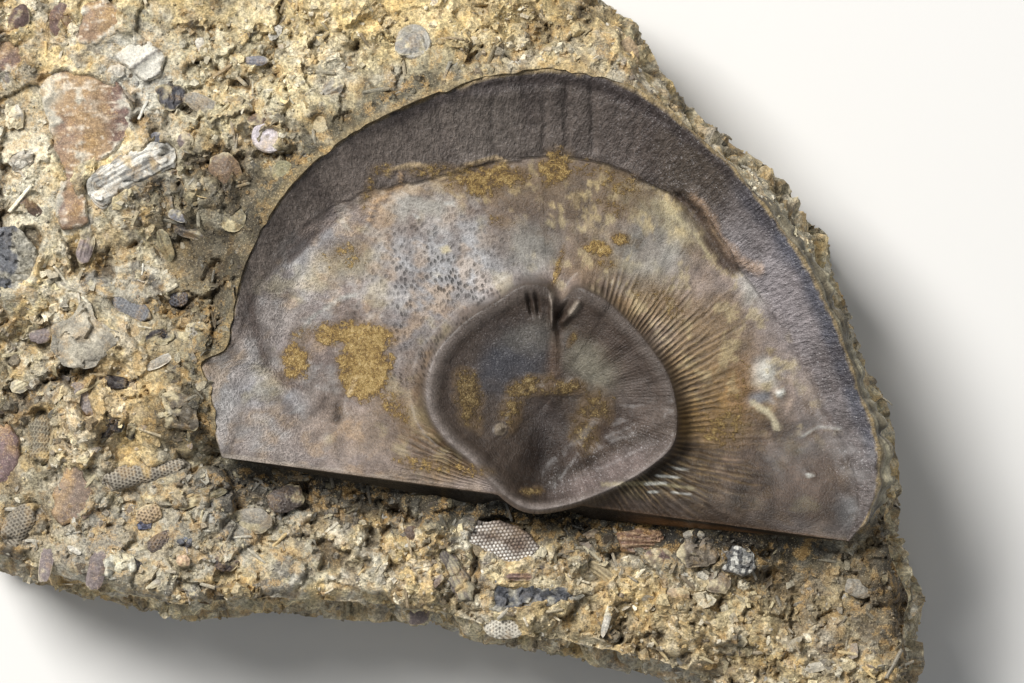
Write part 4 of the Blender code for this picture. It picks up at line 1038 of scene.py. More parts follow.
def ragged_edge(turn):
    """How far the valve's broken edge stands out from its smooth outline, for each angle round the hinge's middle."""
    small = 0.1 * bumps(turn / 3.7, 0 * turn, 1, 303) + 0.04 * bumps(turn / 0.9, 0 * turn, 1, 304)
    small = small * (1 - 0.7 * side_of(turn, 140, 24, 8))
    return small + 0.16 * side_of(turn, 8, 12, 6) * bumps(turn / 3.1, 0 * turn, 1, 305)


def arc_outline(inset):
    """The valve's outline in u and v, drawn in from the front edge by a width for each angle."""
    angle = np.linspace(0, 180, 541)
    reach = profile(VALVE_REACH, angle) - inset(angle) + ragged_edge(angle) * smoothstep(0, 4,
        angle) * smoothstep(180, 176, angle)
    turn = np.radians(angle)
    return np.stack((reach * np.cos(turn), reach * np.sin(turn)), axis=1)


def rim_share(plan):
    """Where the valve's broken edge shows as a pale layered strip, at its right."""
    angle = hinge_angle(*plan.T)
    ragged = 0.75 + 0.35 * bumps(angle / 2.3, 0 * angle, 1, 306) + 0.2 * bumps(angle / 0.8, 0 * angle, 1, 307)
    return side_of(angle, 34, 24, 8) * ragged


def valve_plan(directions):
    """For each direction from the muscle field's centre: ray, rim, fold, edge, plan of edge and of skirt, drop."""
    ray = np.stack((np.cos(directions), np.sin(directions)), axis=1)
    centre = np.array(CUP_CENTRE)
    crest = profile(CUP_REACH, np.degrees(directions))
    edge = np.maximum(reach_of(arc_outline(lambda angle: 0 * angle), centre, directions), crest + 0.35)
    fold = reach_of(arc_outline(lambda angle: profile(TRAIL_WIDTH, angle)) + (0, 0.3), centre, directions)
    fold = np.clip(fold, crest + 0.17, edge - 0.1)
    edge_loop = centre + edge[:, None] * ray
    skirt = edge_loop.copy()
    on_hinge = edge_loop[:, 1] < 0.05
    skirt = skirt + (RIM_OUT * rim_share(edge_loop))[:, None] * ray
    taper = 1 - np.abs(edge_loop[:, 0]) / HINGE_HALF
    skirt[on_hinge, 1] -= (HINGE_FACE_OUT * taper * smoothstep(1.2, 4, np.abs(edge_loop[:, 0])))[on_hinge]
    drop = np.where(on_hinge, HINGE_FACE_DROP * np.maximum(taper, 0) + HINGE_FACE_END, SHELL_THICKNESS)
    return ray, crest, fold, edge, edge_loop, skirt, drop


def valve_directions(count):
    """Directions from the muscle field's centre, with one through each end of the hinge."""
    directions = np.linspace(0, math.tau, count, endpoint=False)
    for end in (-HINGE_HALF, HINGE_HALF):
        corner = math.atan2(-CUP_CENTRE[1], end - CUP_CENTRE[0]) % math.tau
        directions[np.argmin(np.abs(directions - corner))] = corner
    return directions


def zone_share(u, v, middle, half_sizes, turn, softness, seed):
    """How much of a soft-edged, ragged oval covers each point."""
    cosine, sine = math.cos(math.radians(turn)), math.sin(math.radians(turn))
    off_u, off_v = u - middle[0], v - middle[1]
    along, aside = (off_u * cosine + off_v * sine) / half_sizes[0], (off_v * cosine - off_u * sine) / half_sizes[1]
    ragged = 0.3 * rough(u, v, 1.6, seed) + 0.2 * bumps(u, v, 0.5, seed + 5)
    return smoothstep(1 + softness, 1 - softness, np.hypot(along, aside) + ragged)


def zoned(tint, x, y, zones, seed):
    """The tint with the colour of each zone laid over it, each with a ragged edge of its own."""
    for number, (colour, strength, *oval) in enumerate(zones):
        tint = paint(tint, colour, strength * zone_share(x, y, *oval, seed + 3 * number))
    return tint


def valve_fields(u, v):
    """Colour, clay, specks and the run of the fine ribs at each point of the valve's inner face."""
    angle, distance, reach = cup_place(u, v)
    hinge, radius, across = hinge_angle(u, v), np.hypot(u, v), trail_share(u, v)
    share, turn = distance / reach, (angle - 100) % 360
    tint = paint(plain(SHELL_BROWN, u), SHELL_LILAC, patches(u, v, 3.4, 81, -0.4, 0.4))
    tint = paint(tint, SHELL_BEIGE, 0.4 * patches(u, v, 1.8, 84, 0.0, 0.6))
    tint = zoned(tint, u, v, VALVE_ZONES, 90)
    tint = tint * (1 + 0.26 * rough(u, v, 1.3, 88, 5) + 0.1 * rough(u, v, 0.5, 151, 2))[..., None]
    left = smoothstep(-2, -8, u)
    tint = paint(tint, (166, 140, 110), 0.45 * left * patches(u, v, 1.3, 147, 0.1, 0.5, 4))
    tint = paint(tint, (104, 92, 86), 0.5 * left * patches(u, v, 1.0, 149, 0.15, 0.6, 4))
    tint = paint(tint, (176, 172, 168), 0.4 * patches(u, v, 0.9, 146, 0.05, 0.55, 4)
                 * smoothstep(-12, -16, u - 0.5 * v))
    tint = paint(tint, SHELL_DARK, 0.4 * patches(u, v, 2.4, 94, 0.25, 0.7, 4))
    tint = paint(tint, SHELL_CREAM, 0.3 * patches(u, v, 1.9, 97, 0.3, 0.7, 4))
    # Broad patches of painted shade darken the tint.
    for strong, *oval in VALVE_PAINTED_SHADE:
        tint = toned(tint, -strong * zone_share(u, v, *oval, 140))
    left_ear = smoothstep(-13, -16, u - 0.1 * v)
    tint = tint * (0.99, 0.975, 0.945) * (1 + left_ear[..., None] * (-0.02, 0.03, 0.1))
    strength, ribs, count = spokes_at(angle, distance, reach)
    low_left = side_of(angle, 208, 26, 8)
    fan = side_of(angle, 30, 62, 25) * smoothstep(0.2, 1.2, distance - reach)
    streaks = rough(count / 0.9, distance / 1.1, 1, 157, 3)
    tint = toned(tint, 0.4 * fan * streaks)
    tint = paint(tint, (178, 162, 124), 0.5 * fan * smoothstep(5, 8, v) * patches(u, v, 0.75, 158, 0.22, 0.6, 4))
    tint = paint(tint, (84, 68, 50), 0.5 * fan * patches(u, v, 0.8, 162, 0.25, 0.65, 4))
    # Dark in the grooves of the fine ribs: painted shade. Pale on their crests: partly the shell's golden colour,
    # partly a painted highlight.
    tint = paint(tint, (56, 43, 30), (0.65 + 0.25 * low_left) * strength * smoothstep(0.2, -0.6, ribs))
    tint = paint(tint, (158, 134, 94), 0.3 * (1 - low_left) * strength * smoothstep(0.1, 0.7, ribs))
    # Painted shade just outside the muscle field's rim, on its upper left.
    rim_painted_shade = side_of(angle, 160, 62, 12) * np.exp(-((np.maximum(distance - reach, 0) / 0.6) ** 2))
    tint = toned(tint, -0.5 * rim_painted_shade)

    crisp = side_of(hinge, 92, 34, 14)
    soft = 0.03 + 0.2 * (1 - crisp)
    edge_run = across - profile(TRAIL_START, hinge) + 0.05 * rough(u, v, 1.0, 86)
    on_trail = smoothstep(-1, 1, edge_run / soft)
    knots = np.array([angle_at for angle_at, _ in TRAIL_COLOURS])
    shades = np.array([linear(colour) for _, colour in TRAIL_COLOURS])
    trail = np.stack([np.interp(hinge, knots, shade) for shade in shades.T], axis=-1)
    trail = paint(trail, (66, 68, 78), 0.85 * side_of(hinge, 40, 20, 9)
                  * smoothstep(0.55, 0.8, across + 0.12 * rough(u, v, 2, 98)))
    trail = paint(trail, (62, 55, 54), 0.75 * side_of(hinge, 93, 24, 12)
                  * smoothstep(0.74, 0.84, across + 0.04 * bumps(u, v, 2, 99)))
    # Darker where the pleats of the steep rim dip, in their grooves: painted shade.
    trail = paint(trail, (60, 52, 50), 0.5 * smoothstep(0.2, -0.7, bumps(hinge / 2.6, radius / 5, 1, 26)))
    trail = trail * (1 + 0.16 * rough(u, v, 0.9, 100, 4) + 0.12 * rough(u, v, 4.5, 101, 2))[..., None]
    tint = mix(tint, trail, on_trail)
    cream_edge = smoothstep(0.93, 0.985, across + 0.03 * bumps(hinge, radius, 1.0, 87)) * side_of(hinge, 90, 84, 6)
    tint = paint(tint, (168, 146, 104), 0.75 * cream_edge)
    # A painted highlight along the left part of the hinge edge.
    hinge_edge_highlight = smoothstep(0.32, 0.1, v + 0.1 * bumps(u, 0 * u, 1.1, 89)) * (share > 1)
    tint = paint(tint, (164, 153, 140), 0.6 * hinge_edge_highlight * smoothstep(-4, -10, u))
    # Painted shade on the shoulder, where the inner face rounds down to the hinge on the right.
    shoulder = smoothstep(1.4, 0.1, v + 0.3 * bumps(u, 0 * u, 1.6, 91)) * smoothstep(1, 5, u) * smoothstep(17, 12,
        u) * (share > 1)
    tint = paint(tint, (54, 41, 30), 0.85 * shoulder)
    tint = paint(tint, (84, 64, 46), 0.6 * smoothstep(0.25, 0.0, v) * smoothstep(-20, -12, u) * (share > 1))

    stained = side_of(hinge, 84, 24, 12) * smoothstep(16.5, 18.5, v) * (1 - on_trail)
    tint = paint(tint, (184, 164, 120), 0.55 * stained * patches(u, v, 0.8, 164, 0.2, 0.5, 4))
    tint = paint(tint, (88, 72, 56), 0.55 * stained * patches(u, v, 0.9, 168, 0.15, 0.5, 4))

    cup = toned(plain(CUP_BASE, u), 0.12 * rough(u, v, 2.0, 150))
    cup = zoned(cup, u, v, CUP_ZONES, 160)
    fold = side_of(angle, 345, 60, 30) * smoothstep(0.4, 0.75, share)
    cup = cup * (1 + 0.25 * fold * bumps(turn / 7, distance / 3.5, 1, 22) + 0.16 * rough(u, v, 0.6, 154, 4))[...,
        None]
    # Painted shade on the upper and left inner wall of the muscle field, below its rim.
    cup = paint(cup, (62, 52, 46), 0.6 * smoothstep(0.62, 0.82, share) * smoothstep(0.93, 0.86, share)
                * side_of(angle, 110, 85, 25))
    lip = smoothstep(0.86, 0.92, share + 0.02 * bumps(turn / 6, 0 * angle, 1, 152))
    cup = paint(cup, (86, 77, 71), 0.7 * lip * side_of(angle, 130, 100, 30))
    # A pale lip on the rim at its lower left and lower right: partly its own colour, partly a painted highlight.
    rim_lip_and_highlight = smoothstep(0.93, 0.985, share) * np.maximum(side_of(angle, 205, 38, 20), side_of(angle, 300, 36, 20))
    cup = paint(cup, (134, 124, 118), 0.65 * rim_lip_and_highlight * (0.7 + 0.3 * bumps(turn / 5, 0 * angle, 1, 155)))
    worm = np.hypot(u + 2.8, v - 4.08)
    cup = paint(cup, (122, 110, 94), 0.9 * smoothstep(0.42, 0.34, worm))
    cup = paint(cup, (54, 42, 32), 0.8 * smoothstep(0.2, 0.1, np.hypot(u + 2.62, v - 4.02)))
    tint = mix(tint, cup, smoothstep(1.05, 1.0, share))
    for colour, strong, half_width, path in VALVE_LINES:
        ragged = distance_to_path(u, v, path) + 0.6 * half_width * rough(u, v, 0.6, 153)
        tint = paint(tint, colour, strong * smoothstep(1.7 * half_width, 0.3 * half_width, ragged))

    dust = np.zeros(np.shape(u))
    for number, (strong, *oval) in enumerate(VALVE_DUST):
        dust = np.maximum(dust, strong * zone_share(u, v, *oval, 200 + 3 * number))
    dust = dust * smoothstep(0.42, 0.6, worm)
    tint = paint(tint, (104, 84, 58), 0.45 * smoothstep(0.1, 0.4, dust))
    net = 0.15 + 0.85 * left_ear * (1 - on_trail) + 0.15 * smoothstep(-6, -10, u)
    net = np.where(share < 1, 0.15, net) * (1 - 0.7 * np.clip(dust, 0, 1)) * (1 - 0.6 * on_trail)
    dots = 0.2 + 0.9 * zone_share(u, v, (-8.4, 10.4), (4.4, 4.4), 0, 0.7, 144) + 0.4 * zone_share(u, v, (-7.5, 14.5),
        (4.5, 3), 0, 0.8, 145)
    dots = np.where(share < 1, 0.25, dots) * (1 - on_trail) * (1 - 0.7 * left_ear) * (1 - strength)
    speck = 0.35 * on_trail + 0.65 * side_of(hinge, 44, 30, 20) * smoothstep(-0.6, 0.1, across)
    wall = side_of(angle, 315, 32, 14) * smoothstep(0.5, 0.75, share) * (share < 1)
    grains = 0.55 * zone_share(u, v, (-3.0, 8.6), (3.4, 2.6), 28, 0.7, 148)
    speck = np.where(share < 1, np.maximum(wall, grains), np.maximum(speck, 0.4 * smoothstep(-6, -12, u)))
    leather = np.stack((hinge / 0.6 + 0.9 * radius, radius / 0.44, 0 * radius), axis=-1)
    around = np.stack((count, distance / 0.9, 5 + 0 * distance), axis=-1)
    return {
        "tint": tint,
        "dust": dust,
        "speck": np.clip(speck, 0, 1),
        "net": net,
        "dots": dots,
        "umber": np.where(share < 1, 0.85, 0.5 * smoothstep(2, 6, u) + 0.25 * smoothstep(16, 18, v)),
        "ribs": np.clip(np.where(share < 1, 0.2 * fold, 1.1 * strength * smoothstep(0.5, 0.2, on_trail)), 0, 1),
        "leather": smoothstep(0.5, 0.8, on_trail) * (share > 1),
        "run": np.where((on_trail > 0.5)[..., None], leather, around),
    }


def make_valve(look):
    """The valve: rings from the middle of the muscle field over the edge to the underside."""
    directions = valve_directions(VALVE_DIRECTIONS)
    ray, crest, fold, edge, edge_loop, skirt, drop = valve_plan(directions)
    centre = np.array(CUP_CENTRE)
    shares = np.linspace(0, 1, 39)[1:]
    reaches = [crest * share for share in shares]
    for share in (0.02, 0.05, 0.09):
        reaches.append(crest + np.minimum(share * 6, fold - crest) * 0.5 * (1 + share))
    start = reaches[-1]
    reaches += [start + (fold - start) * share for share in np.linspace(0, 1, 43)[1:]]
    reaches += [fold + (edge - fold) * share for share in np.linspace(0, 1, 23)[1:]]
    points, plans = [], []
    for reach in reaches:
        plan = centre + reach[:, None] * ray
        plans.append(plan)
        points.append(np.column_stack((to_slab(plan), HINGE_LEVEL + inner_height(*plan.T))))
    edge_height = points[-1][:, 2].copy()
    points[-1][:, 2] -= EDGE_ROUND
    points[-2][:, 2] -= 0.3 * EDGE_ROUND
    underside = edge_height - drop
    along = HINGE_HALF * directions
    for share in np.linspace(0, 1, 10)[1:]:
        deep = 0.04 + 0.12 * np.clip(rim_share(edge_loop), 0, 1)
        ledge = deep * bumps(along / 1.3, 0 * along + 5 * share, 1, 301)
        ledge = ledge + 0.05 * bumps(along / 0.35, 0 * along + 7 * share, 1, 309)
        plan = edge_loop + (skirt - edge_loop) * share + ray * (ledge * min(1, 4 - 4 * share))[:, None]
        plans.append(plan)
        level = points[len(reaches) - 1][:, 2] * (1 - share) + underside * share
        points.append(np.column_stack((to_slab(plan), level)))
    for share in (0.8, 0.4):
        plan = centre + (skirt - centre) * share
        plans.append(plan)
        floor = HINGE_LEVEL - DISC_DIP - 2 * SHELL_THICKNESS + SHELL_THICKNESS * share
        points.append(np.column_stack((to_slab(plan), np.minimum(floor, underside))))
    rings, around = len(points), len(directions)
    plan = np.vstack([np.array([centre]), *plans, np.array([centre])])
    middle = to_slab(centre)
    points = np.vstack([[(*middle, HINGE_LEVEL + float(inner_height(*centre)))], *points,
                        [(*middle, HINGE_LEVEL - DISC_DIP - 2 * SHELL_THICKNESS)]])  # fmt: skip
    fields = valve_fields(*plan.T)
    face = slice(1 + len(reaches) * around, None)
    # The hinge face and the underside: painted shade, near black where they lie deep; lit is a painted highlight low
    # on the right part of the hinge face.
    depth = HINGE_LEVEL - points[face, 2]
    below = mix(linear((18, 12, 8)), linear((66, 47, 32)), smoothstep(0.7, 0.25, depth))
    lit = smoothstep(1.3, 1.7, depth) * smoothstep(5, 9, plan[face, 0]) * smoothstep(17, 13,
        plan[face, 0]) * (plan[face, 1] < 0.1)
    below = paint(below, (136, 94, 54), 0.5 * lit)
    rim = np.clip(rim_share(plan[face]), 0, 1)
    sheets = smoothstep(-0.5, 0.6, rough(plan[face, 0] + plan[face, 1], points[face, 2] / 0.24, 1.3, 308, 4))
    below = mix(below, mix(linear((116, 107, 89)), linear((186, 177, 150)), sheets), 0.9 * rim)
    fields["tint"][face] = below * (1 + 0.25 * bumps(plan[face, 0], points[face, 2], 0.8, 302))[:, None]
    fields["dust"][face] = 0.0
    for name in ("net", "dots", "umber", "speck", "ribs", "leather"):
        fields[name][face] = 0.1
    faces = tube_faces(rings, around, (0, len(points) - 1), 1)
    return make_mesh("valve_surface", points, faces, look, fields)


# --------------------------------------------------------------------------------------------------------------------
# The slab.


def slab_reach(directions):
    """Distance of the slab's outline from the valve's muscle field, roughened a little."""
    centre = to_slab(np.array(CUP_CENTRE))
    reach = reach_of(SLAB_OUTLINE, centre, directions)
    x, y = (centre + reach[:, None] * np.stack((np.cos(directions), np.sin(directions)), axis=1)).T
    return reach - 0.12 + 0.16 * rough(x, y, 1.4, 311) + 0.1 * rough(x, y, 0.5, 314)


def without_thorns(height, faces, most):
    """Heights of a mesh's points; those over the mean of their neighbours by more than most are taken down."""
    ends = np.vstack((faces[:, [0, 1]], faces[:, [1, 2]], faces[:, [2, 0]]))
    total = sum(np.bincount(ends[:, one], height[ends[:, other]], len(height)) for one, other in ((0, 1), (1, 0)))
    return np.minimum(height, total / np.maximum(np.bincount(ends.ravel(), minlength=len(height)), 1) + most)


def make_slab(look):
    """The slab: a finely broken top, craggy sides, and a flat bedding plane below."""
    centre = to_slab(np.array(CUP_CENTRE))
    turn = np.linspace(0, math.tau, 4096, endpoint=False)
    ray = np.stack((np.cos(turn), np.sin(turn)), axis=1)
    outline = evenly(centre + slab_reach(turn)[:, None] * ray, SIDE_POINTS)
    normal = outwards_of(outline, 8)
    *_, valve_edge, skirt, _ = valve_plan(turn - HINGE_TURN)

    def from_centre(points):
        away = points - centre
        return np.arctan2(away[:, 1], away[:, 0]) % math.tau, np.hypot(*away.T)

    def reach_to(loop):
        """A function that gives how far the loop lies from the centre in each direction."""
        there, far = from_centre(loop)
        order = np.argsort(there)
        return lambda directions: np.interp(directions % math.tau, there[order], far[order], period=math.tau)

    def inside_of(reach):
        """A function that says which points lie within the loop that a reach belongs to."""

        def within(x, y):
            there, far = from_centre(np.column_stack((x, y)))
            return far < reach(there)

        return within

    hole_reach = reach_to(to_slab(np.where(skirt[:, 1:] < 0, skirt, valve_edge)))
    top_loop = outline - normal * ROCK_BROW
    top_reach = reach_to(top_loop)
    hole_turns = np.linspace(0, math.tau, 620, endpoint=False)
    hole_ray = np.stack((np.cos(hole_turns), np.sin(hole_turns)), axis=1)
    lap = 0.1 + 0.22 * np.maximum(bumps(*(centre + 20 * hole_ray).T, 0.7, 405), 0)
    hole = centre + (hole_reach(hole_turns) - lap)[:, None] * hole_ray
    under = centre + (hole_reach(hole_turns) - 0.6)[:, None] * hole_ray
    fine = scattered(outline.min(axis=0), outline.max(axis=0), ROCK_SPACING, 401)
    fine_turn, fine_far = from_centre(fine)
    fine = fine[(fine_far < top_reach(fine_turn) - 0.6 * ROCK_SPACING) & (fine_far > hole_reach(fine_turn) - 0.05
        + 0.5 * ROCK_SPACING)]
    coarse = scattered(outline.min(axis=0), outline.max(axis=0), 1.6, 402)
    coarse_turn, coarse_far = from_centre(coarse)
    coarse = coarse[coarse_far < hole_reach(coarse_turn) - 1.6]

    flat = np.vstack((top_loop, hole, under, fine, coarse))
    counts = np.cumsum([0, len(top_loop), len(hole), len(under), len(fine), len(coarse)])
    loops = [np.arange(counts[i], counts[i + 1]) for i in range(3)]

    top_faces = filled(flat, loops, inside_of(top_reach))
    height, tint, dust = rock_surface(flat[:, 0].copy(), flat[:, 1].copy())
    brow = smoothstep(1.6, 0.0, top_reach(from_centre(flat)[0]) - from_centre(flat)[1])
    height = height - 0.9 * brow**2
    seat = slice(counts[2], counts[3])
    height[seat] = np.minimum(height[seat], HINGE_LEVEL - DISC_DIP - 2 * SHELL_THICKNESS)
    height[counts[4]:] = HINGE_LEVEL - DISC_DIP - 2.4 * SHELL_THICKNESS
    height[counts[3]: counts[4]] = without_thorns(height, top_faces, 0.2)[counts[3]: counts[4]]
    top = np.column_stack((flat, height))

    perimeter = np.hypot(*np.diff(np.vstack((outline, outline[:1])), axis=0).T).sum()
    run = np.linspace(0, perimeter, SIDE_POINTS, endpoint=False)
    brow_height = height[: SIDE_POINTS]
    rings, tints = [], []
    for share in np.linspace(0, 1, SIDE_RINGS + 1)[1:]:
        level = brow_height * (1 - share) ** 1.02
        z = level + 200
        fold_x, fold_z = run + 0.4 * bumps(run, z, 1.1, 321), z + 0.4 * bumps(run, z, 1.1, 322)
        big, big_gap, big_number = tilted(fold_x, fold_z, 3.0, 323, 0.35, 0.35)
        mid, mid_gap, mid_number = tilted(fold_x, fold_z, 1.3, 327, 0.4, 0.16)
        small, _, small_number = tilted(run, z, 0.6, 331, 0.4, 0.09)
        inset = ROCK_BROW * (1 - smoothstep(0, 0.3, share)) + 0.45 * smoothstep(0.8, 1.0, share)
        crag = (0.9 * big + mid + small + 0.25 * rough(run, z, 2.0, 335) - 0.15) * smoothstep(0, 0.1, share)
        crag = crag * (1 - 0.5 * smoothstep(0.9, 1.0, share))
        plan = outline + normal * np.minimum(crag - inset, 0.3)[:, None]
        rings.append(np.column_stack((plan, level)))
        crack = 0.7 * smoothstep(0.12, 0, mid_gap) + 0.5 * smoothstep(0.1, 0, big_gap)
        side_tint = rock_tint(run, z, big_number, mid_number, small_number)
        tints.append(paint(side_tint, (92, 74, 52), 0.6 * crack))
    base_loop = rings[-1][:, :2]
    base_reach = reach_to(base_loop)
    base = scattered(outline.min(axis=0), outline.max(axis=0), BASE_SPACING, 403)
    base_turn, base_far = from_centre(base)
    base = base[base_far < base_reach(base_turn) - 0.6 * BASE_SPACING]
    base_faces = filled(np.vstack((base_loop, base)), [np.arange(SIDE_POINTS)], inside_of(base_reach))
    shift = len(top) + (SIDE_RINGS - 1) * SIDE_POINTS + np.arange(SIDE_POINTS + len(base))
    base_height = 0.12 * smoothstep(0.1, 0.5, rough(*base.T, 4.0, 337))
    numbers = lattice(np.arange(len(base)), np.zeros(len(base), np.int64), 5)
    base_tint = rock_tint(*base.T, numbers, numbers, numbers)
    points = np.vstack((top, *rings, np.column_stack((base, base_height))))
    tint = np.vstack((tint, *tints, base_tint))
    dust = np.concatenate((dust, np.full(len(points) - len(dust), 0.5)))
    first = len(top)
    sides = np.vstack((band_faces(0, first, SIDE_POINTS), ring_faces(SIDE_RINGS, SIDE_POINTS, first)))
    faces = [top_faces, shift[base_faces][:, ::-1], sides]
    slab = make_mesh("slab_surface", points, faces, look, {"tint": tint, "dust": dust}, sharp=50)
    side = (np.stack(rings), np.broadcast_to(normal, (SIDE_RINGS, SIDE_POINTS, 2)), np.stack(tints))
    return slab, side


# --------------------------------------------------------------------------------------------------------------------
# Fossils sunk in the slab.


def pores(s, t, pitch, flat=0.8):
    """How deep in a pore each point lies, 0 to 1, on a lattice of diamond rows along s."""
    row = np.round(s / (0.84 * pitch))
    shift = 0.5 * (row % 2)
    column = np.round(t / pitch - shift) + shift
    shake = 0.08 * pitch * (lattice(row.astype(np.int64), (2 * column).astype(np.int64), 7) - 0.5)
    away = np.hypot((s - row * 0.84 * pitch) / flat, t - column * pitch + shake) / pitch
    return smoothstep(0.46, 0.22, away)


def plate_surface(name, x, y, s, t, edge):
    """(extra height, tint, dust) over a flat fossil: s and t run along and across it, edge is how far its rim is."""
    grain = rough(x, y, 0.8, 601)
    dust = 0.25 + 0.35 * smoothstep(0.5, 0.0, edge) + 0.2 * rough(x, y, 1.2, 604)
    if name.startswith("shell_fragment"):
        tint = paint(plain((148, 122, 98), x), (118, 96, 86), smoothstep(-0.3, 0.4, rough(x, y, 2.2, 610) + 0.16 * s))
        tint = paint(tint, (166, 138, 98), 0.5 * smoothstep(0.0, 0.5, rough(x, y, 1.7, 613) + 0.15 * t))
        tint = paint(tint, (98, 74, 76), 0.75 * smoothstep(0.9, 2.6, s + 0.5 * rough(x, y, 1.3, 620))
                     * (name == "shell_fragment_large"))
        streak = bumps(s / 0.8, t / 0.15, 1, 616)
        tint = paint(tint, (222, 210, 190), 0.75 * smoothstep(0.25, 0.65, streak)
                     * patches(x, y, 1.5, 617, -0.4, 0.1))
        tint = paint(tint, (224, 214, 196), 0.7 * patches(x, y, 0.22, 621, 0.5, 0.75, 2))
        tint = tint * (1 + 0.1 * bumps(s / 2.4, t / 0.11, 1, 618) + 0.12 * rough(x, y, 0.5, 619))[..., None]
        crust = smoothstep(0.3, 0.6, rough(x, y, 1.4, 623, 4) + 0.55 * smoothstep(0.8, 0.0, edge) - 0.1)
        if name == "shell_fragment_large":
            left = smoothstep(-23.5, -24.6, x + 0.5 * bumps(x, y, 1.2, 626)) * (y > 10)
            crust = np.clip(crust + left, 0, 1)
        lumps = patches(x, y, 0.55, 628, -0.6, 0.6, 4)
        tint = paint(tint, (224, 218, 200), 0.85 * crust)
        tint = toned(tint, -0.4 * crust * (1 - lumps))
        return 0.02 * streak + 0.1 * grain + crust * (0.03 + 0.25 * lumps), tint, dust
    if name in ("shell_paddle", "shell_ribbed_left"):
        pitch = 0.42 if name == "shell_paddle" else 0.3
        lines = np.sin(np.hypot(s + 3.0, t) * math.tau / pitch + 1.2 * bumps(x, y, 1.5, 631))
        tint = plain((134, 116, 102) if name == "shell_paddle" else (118, 98, 96), x)
        tint = paint(tint, (168, 138, 96), 0.5 * patches(x, y, 1.4, 634, 0.0, 0.6))
        return 0.022 * lines + 0.05 * grain, tint * (1 + 0.1 * lines + 0.15 * grain)[..., None], dust
    if name == "shell_ribbed_small":
        ribs = np.cos(np.degrees(np.arctan2(t, s + 2.4)) * math.tau / 7.5)
        tint = paint(plain((104, 78, 62), x), (160, 134, 106), smoothstep(-0.2, 0.9, ribs) * 0.7)
        return 0.1 * ribs, tint, dust
    if name == "bryozoan_fan":
        knob = pores(s, t, 0.25, 1.0) * smoothstep(-0.7, 0.0, rough(x, y, 1.3, 637) + 0.35)
        rim = smoothstep(1.2, 0.3, edge + 0.5 * rough(x, y, 1.4, 638)) * smoothstep(-1.4, 0.2, -t)
        ground = paint(plain((62, 50, 42), x), (96, 82, 70), rim)
        tip = paint(plain((116, 96, 82), x), (226, 222, 214), rim)
        return 0.07 * knob + 0.14 * grain, mix(ground, tip, knob), 0.3 * dust
    if name in ("shell_chip_dark", "mineral_chunk"):
        facet, _, number = tilted(x, y, 0.55, 641, 0.45, 0.06)
        tint = paint(plain((66, 68, 73), x), (98, 99, 103), number)
        side = 0.5 * smoothstep(1.0, 3.0, s) if name == "shell_chip_dark" else 0.9 * smoothstep(0.4, -1.0, s)
        pale = smoothstep(0.15, 0.55, rough(x, y, 0.6, 644) + side + 0.4 * smoothstep(0.3, 0.0, edge))
        return facet + 0.08 * grain, paint(tint, (172, 166, 148), 0.65 * pale), 0.15 * dust
    if name == "mudstone_pebble":
        facet, _, number = tilted(x, y, 1.3, 651, 0.26, 0.14)
        tint = paint(plain((140, 134, 122), x), (184, 176, 158), patches(x, y, 1.2, 654, -0.3, 0.5))
        return facet + 0.12 * rough(x, y, 1.0, 655, 4), toned(tint, 0.14 * (number - 0.5)), dust
    if name == "rock_chip_granular":
        facet, _, number = tilted(x, y, 0.24, 661, 0.5, 0.05)
        tint = paint(plain((84, 84, 84), x), (190, 188, 180), smoothstep(0.45, 0.9, number))
        return facet + 0.1 * grain, tint, 0.2 * dust
    if name == "shell_flake_grey":
        lines = rough(s / 2.2, t / 0.3, 1, 671)
        tint = paint(plain((206, 202, 190), x), (120, 116, 110), smoothstep(0.05, 0.5, lines))
        return 0.1 * lines + 0.12 * grain, tint, 0.5 * dust
    rings = np.hypot(s, t)
    wave = np.cos(rings * math.tau / 0.2 + 2 * grain)
    pale = {"columnal_pale": (186, 178, 182), "columnal_beige": (168, 156, 126), "columnal_green": (132, 126, 96)}
    tint = plain(pale.get(name, (164, 160, 150)), x) * (1 + 0.05 * wave + 0.16 * grain)[..., None]
    tint = paint(tint, (214, 208, 208), 0.6 * smoothstep(0.26, 0.05, edge) * smoothstep(-0.2, 0.3, s)
                 * (name == "columnal_pale"))
    hole = smoothstep(0.16, 0.06, rings)
    tint = paint(tint, (150, 136, 108), 0.5 * patches(x, y, 0.9, 675, 0.0, 0.5))
    return 0.015 * wave - 0.12 * smoothstep(0.8, 0.3, rings) - 0.08 * hole + 0.08 * grain, paint(tint, (110, 98, 72),
        0.5 * hole), dust


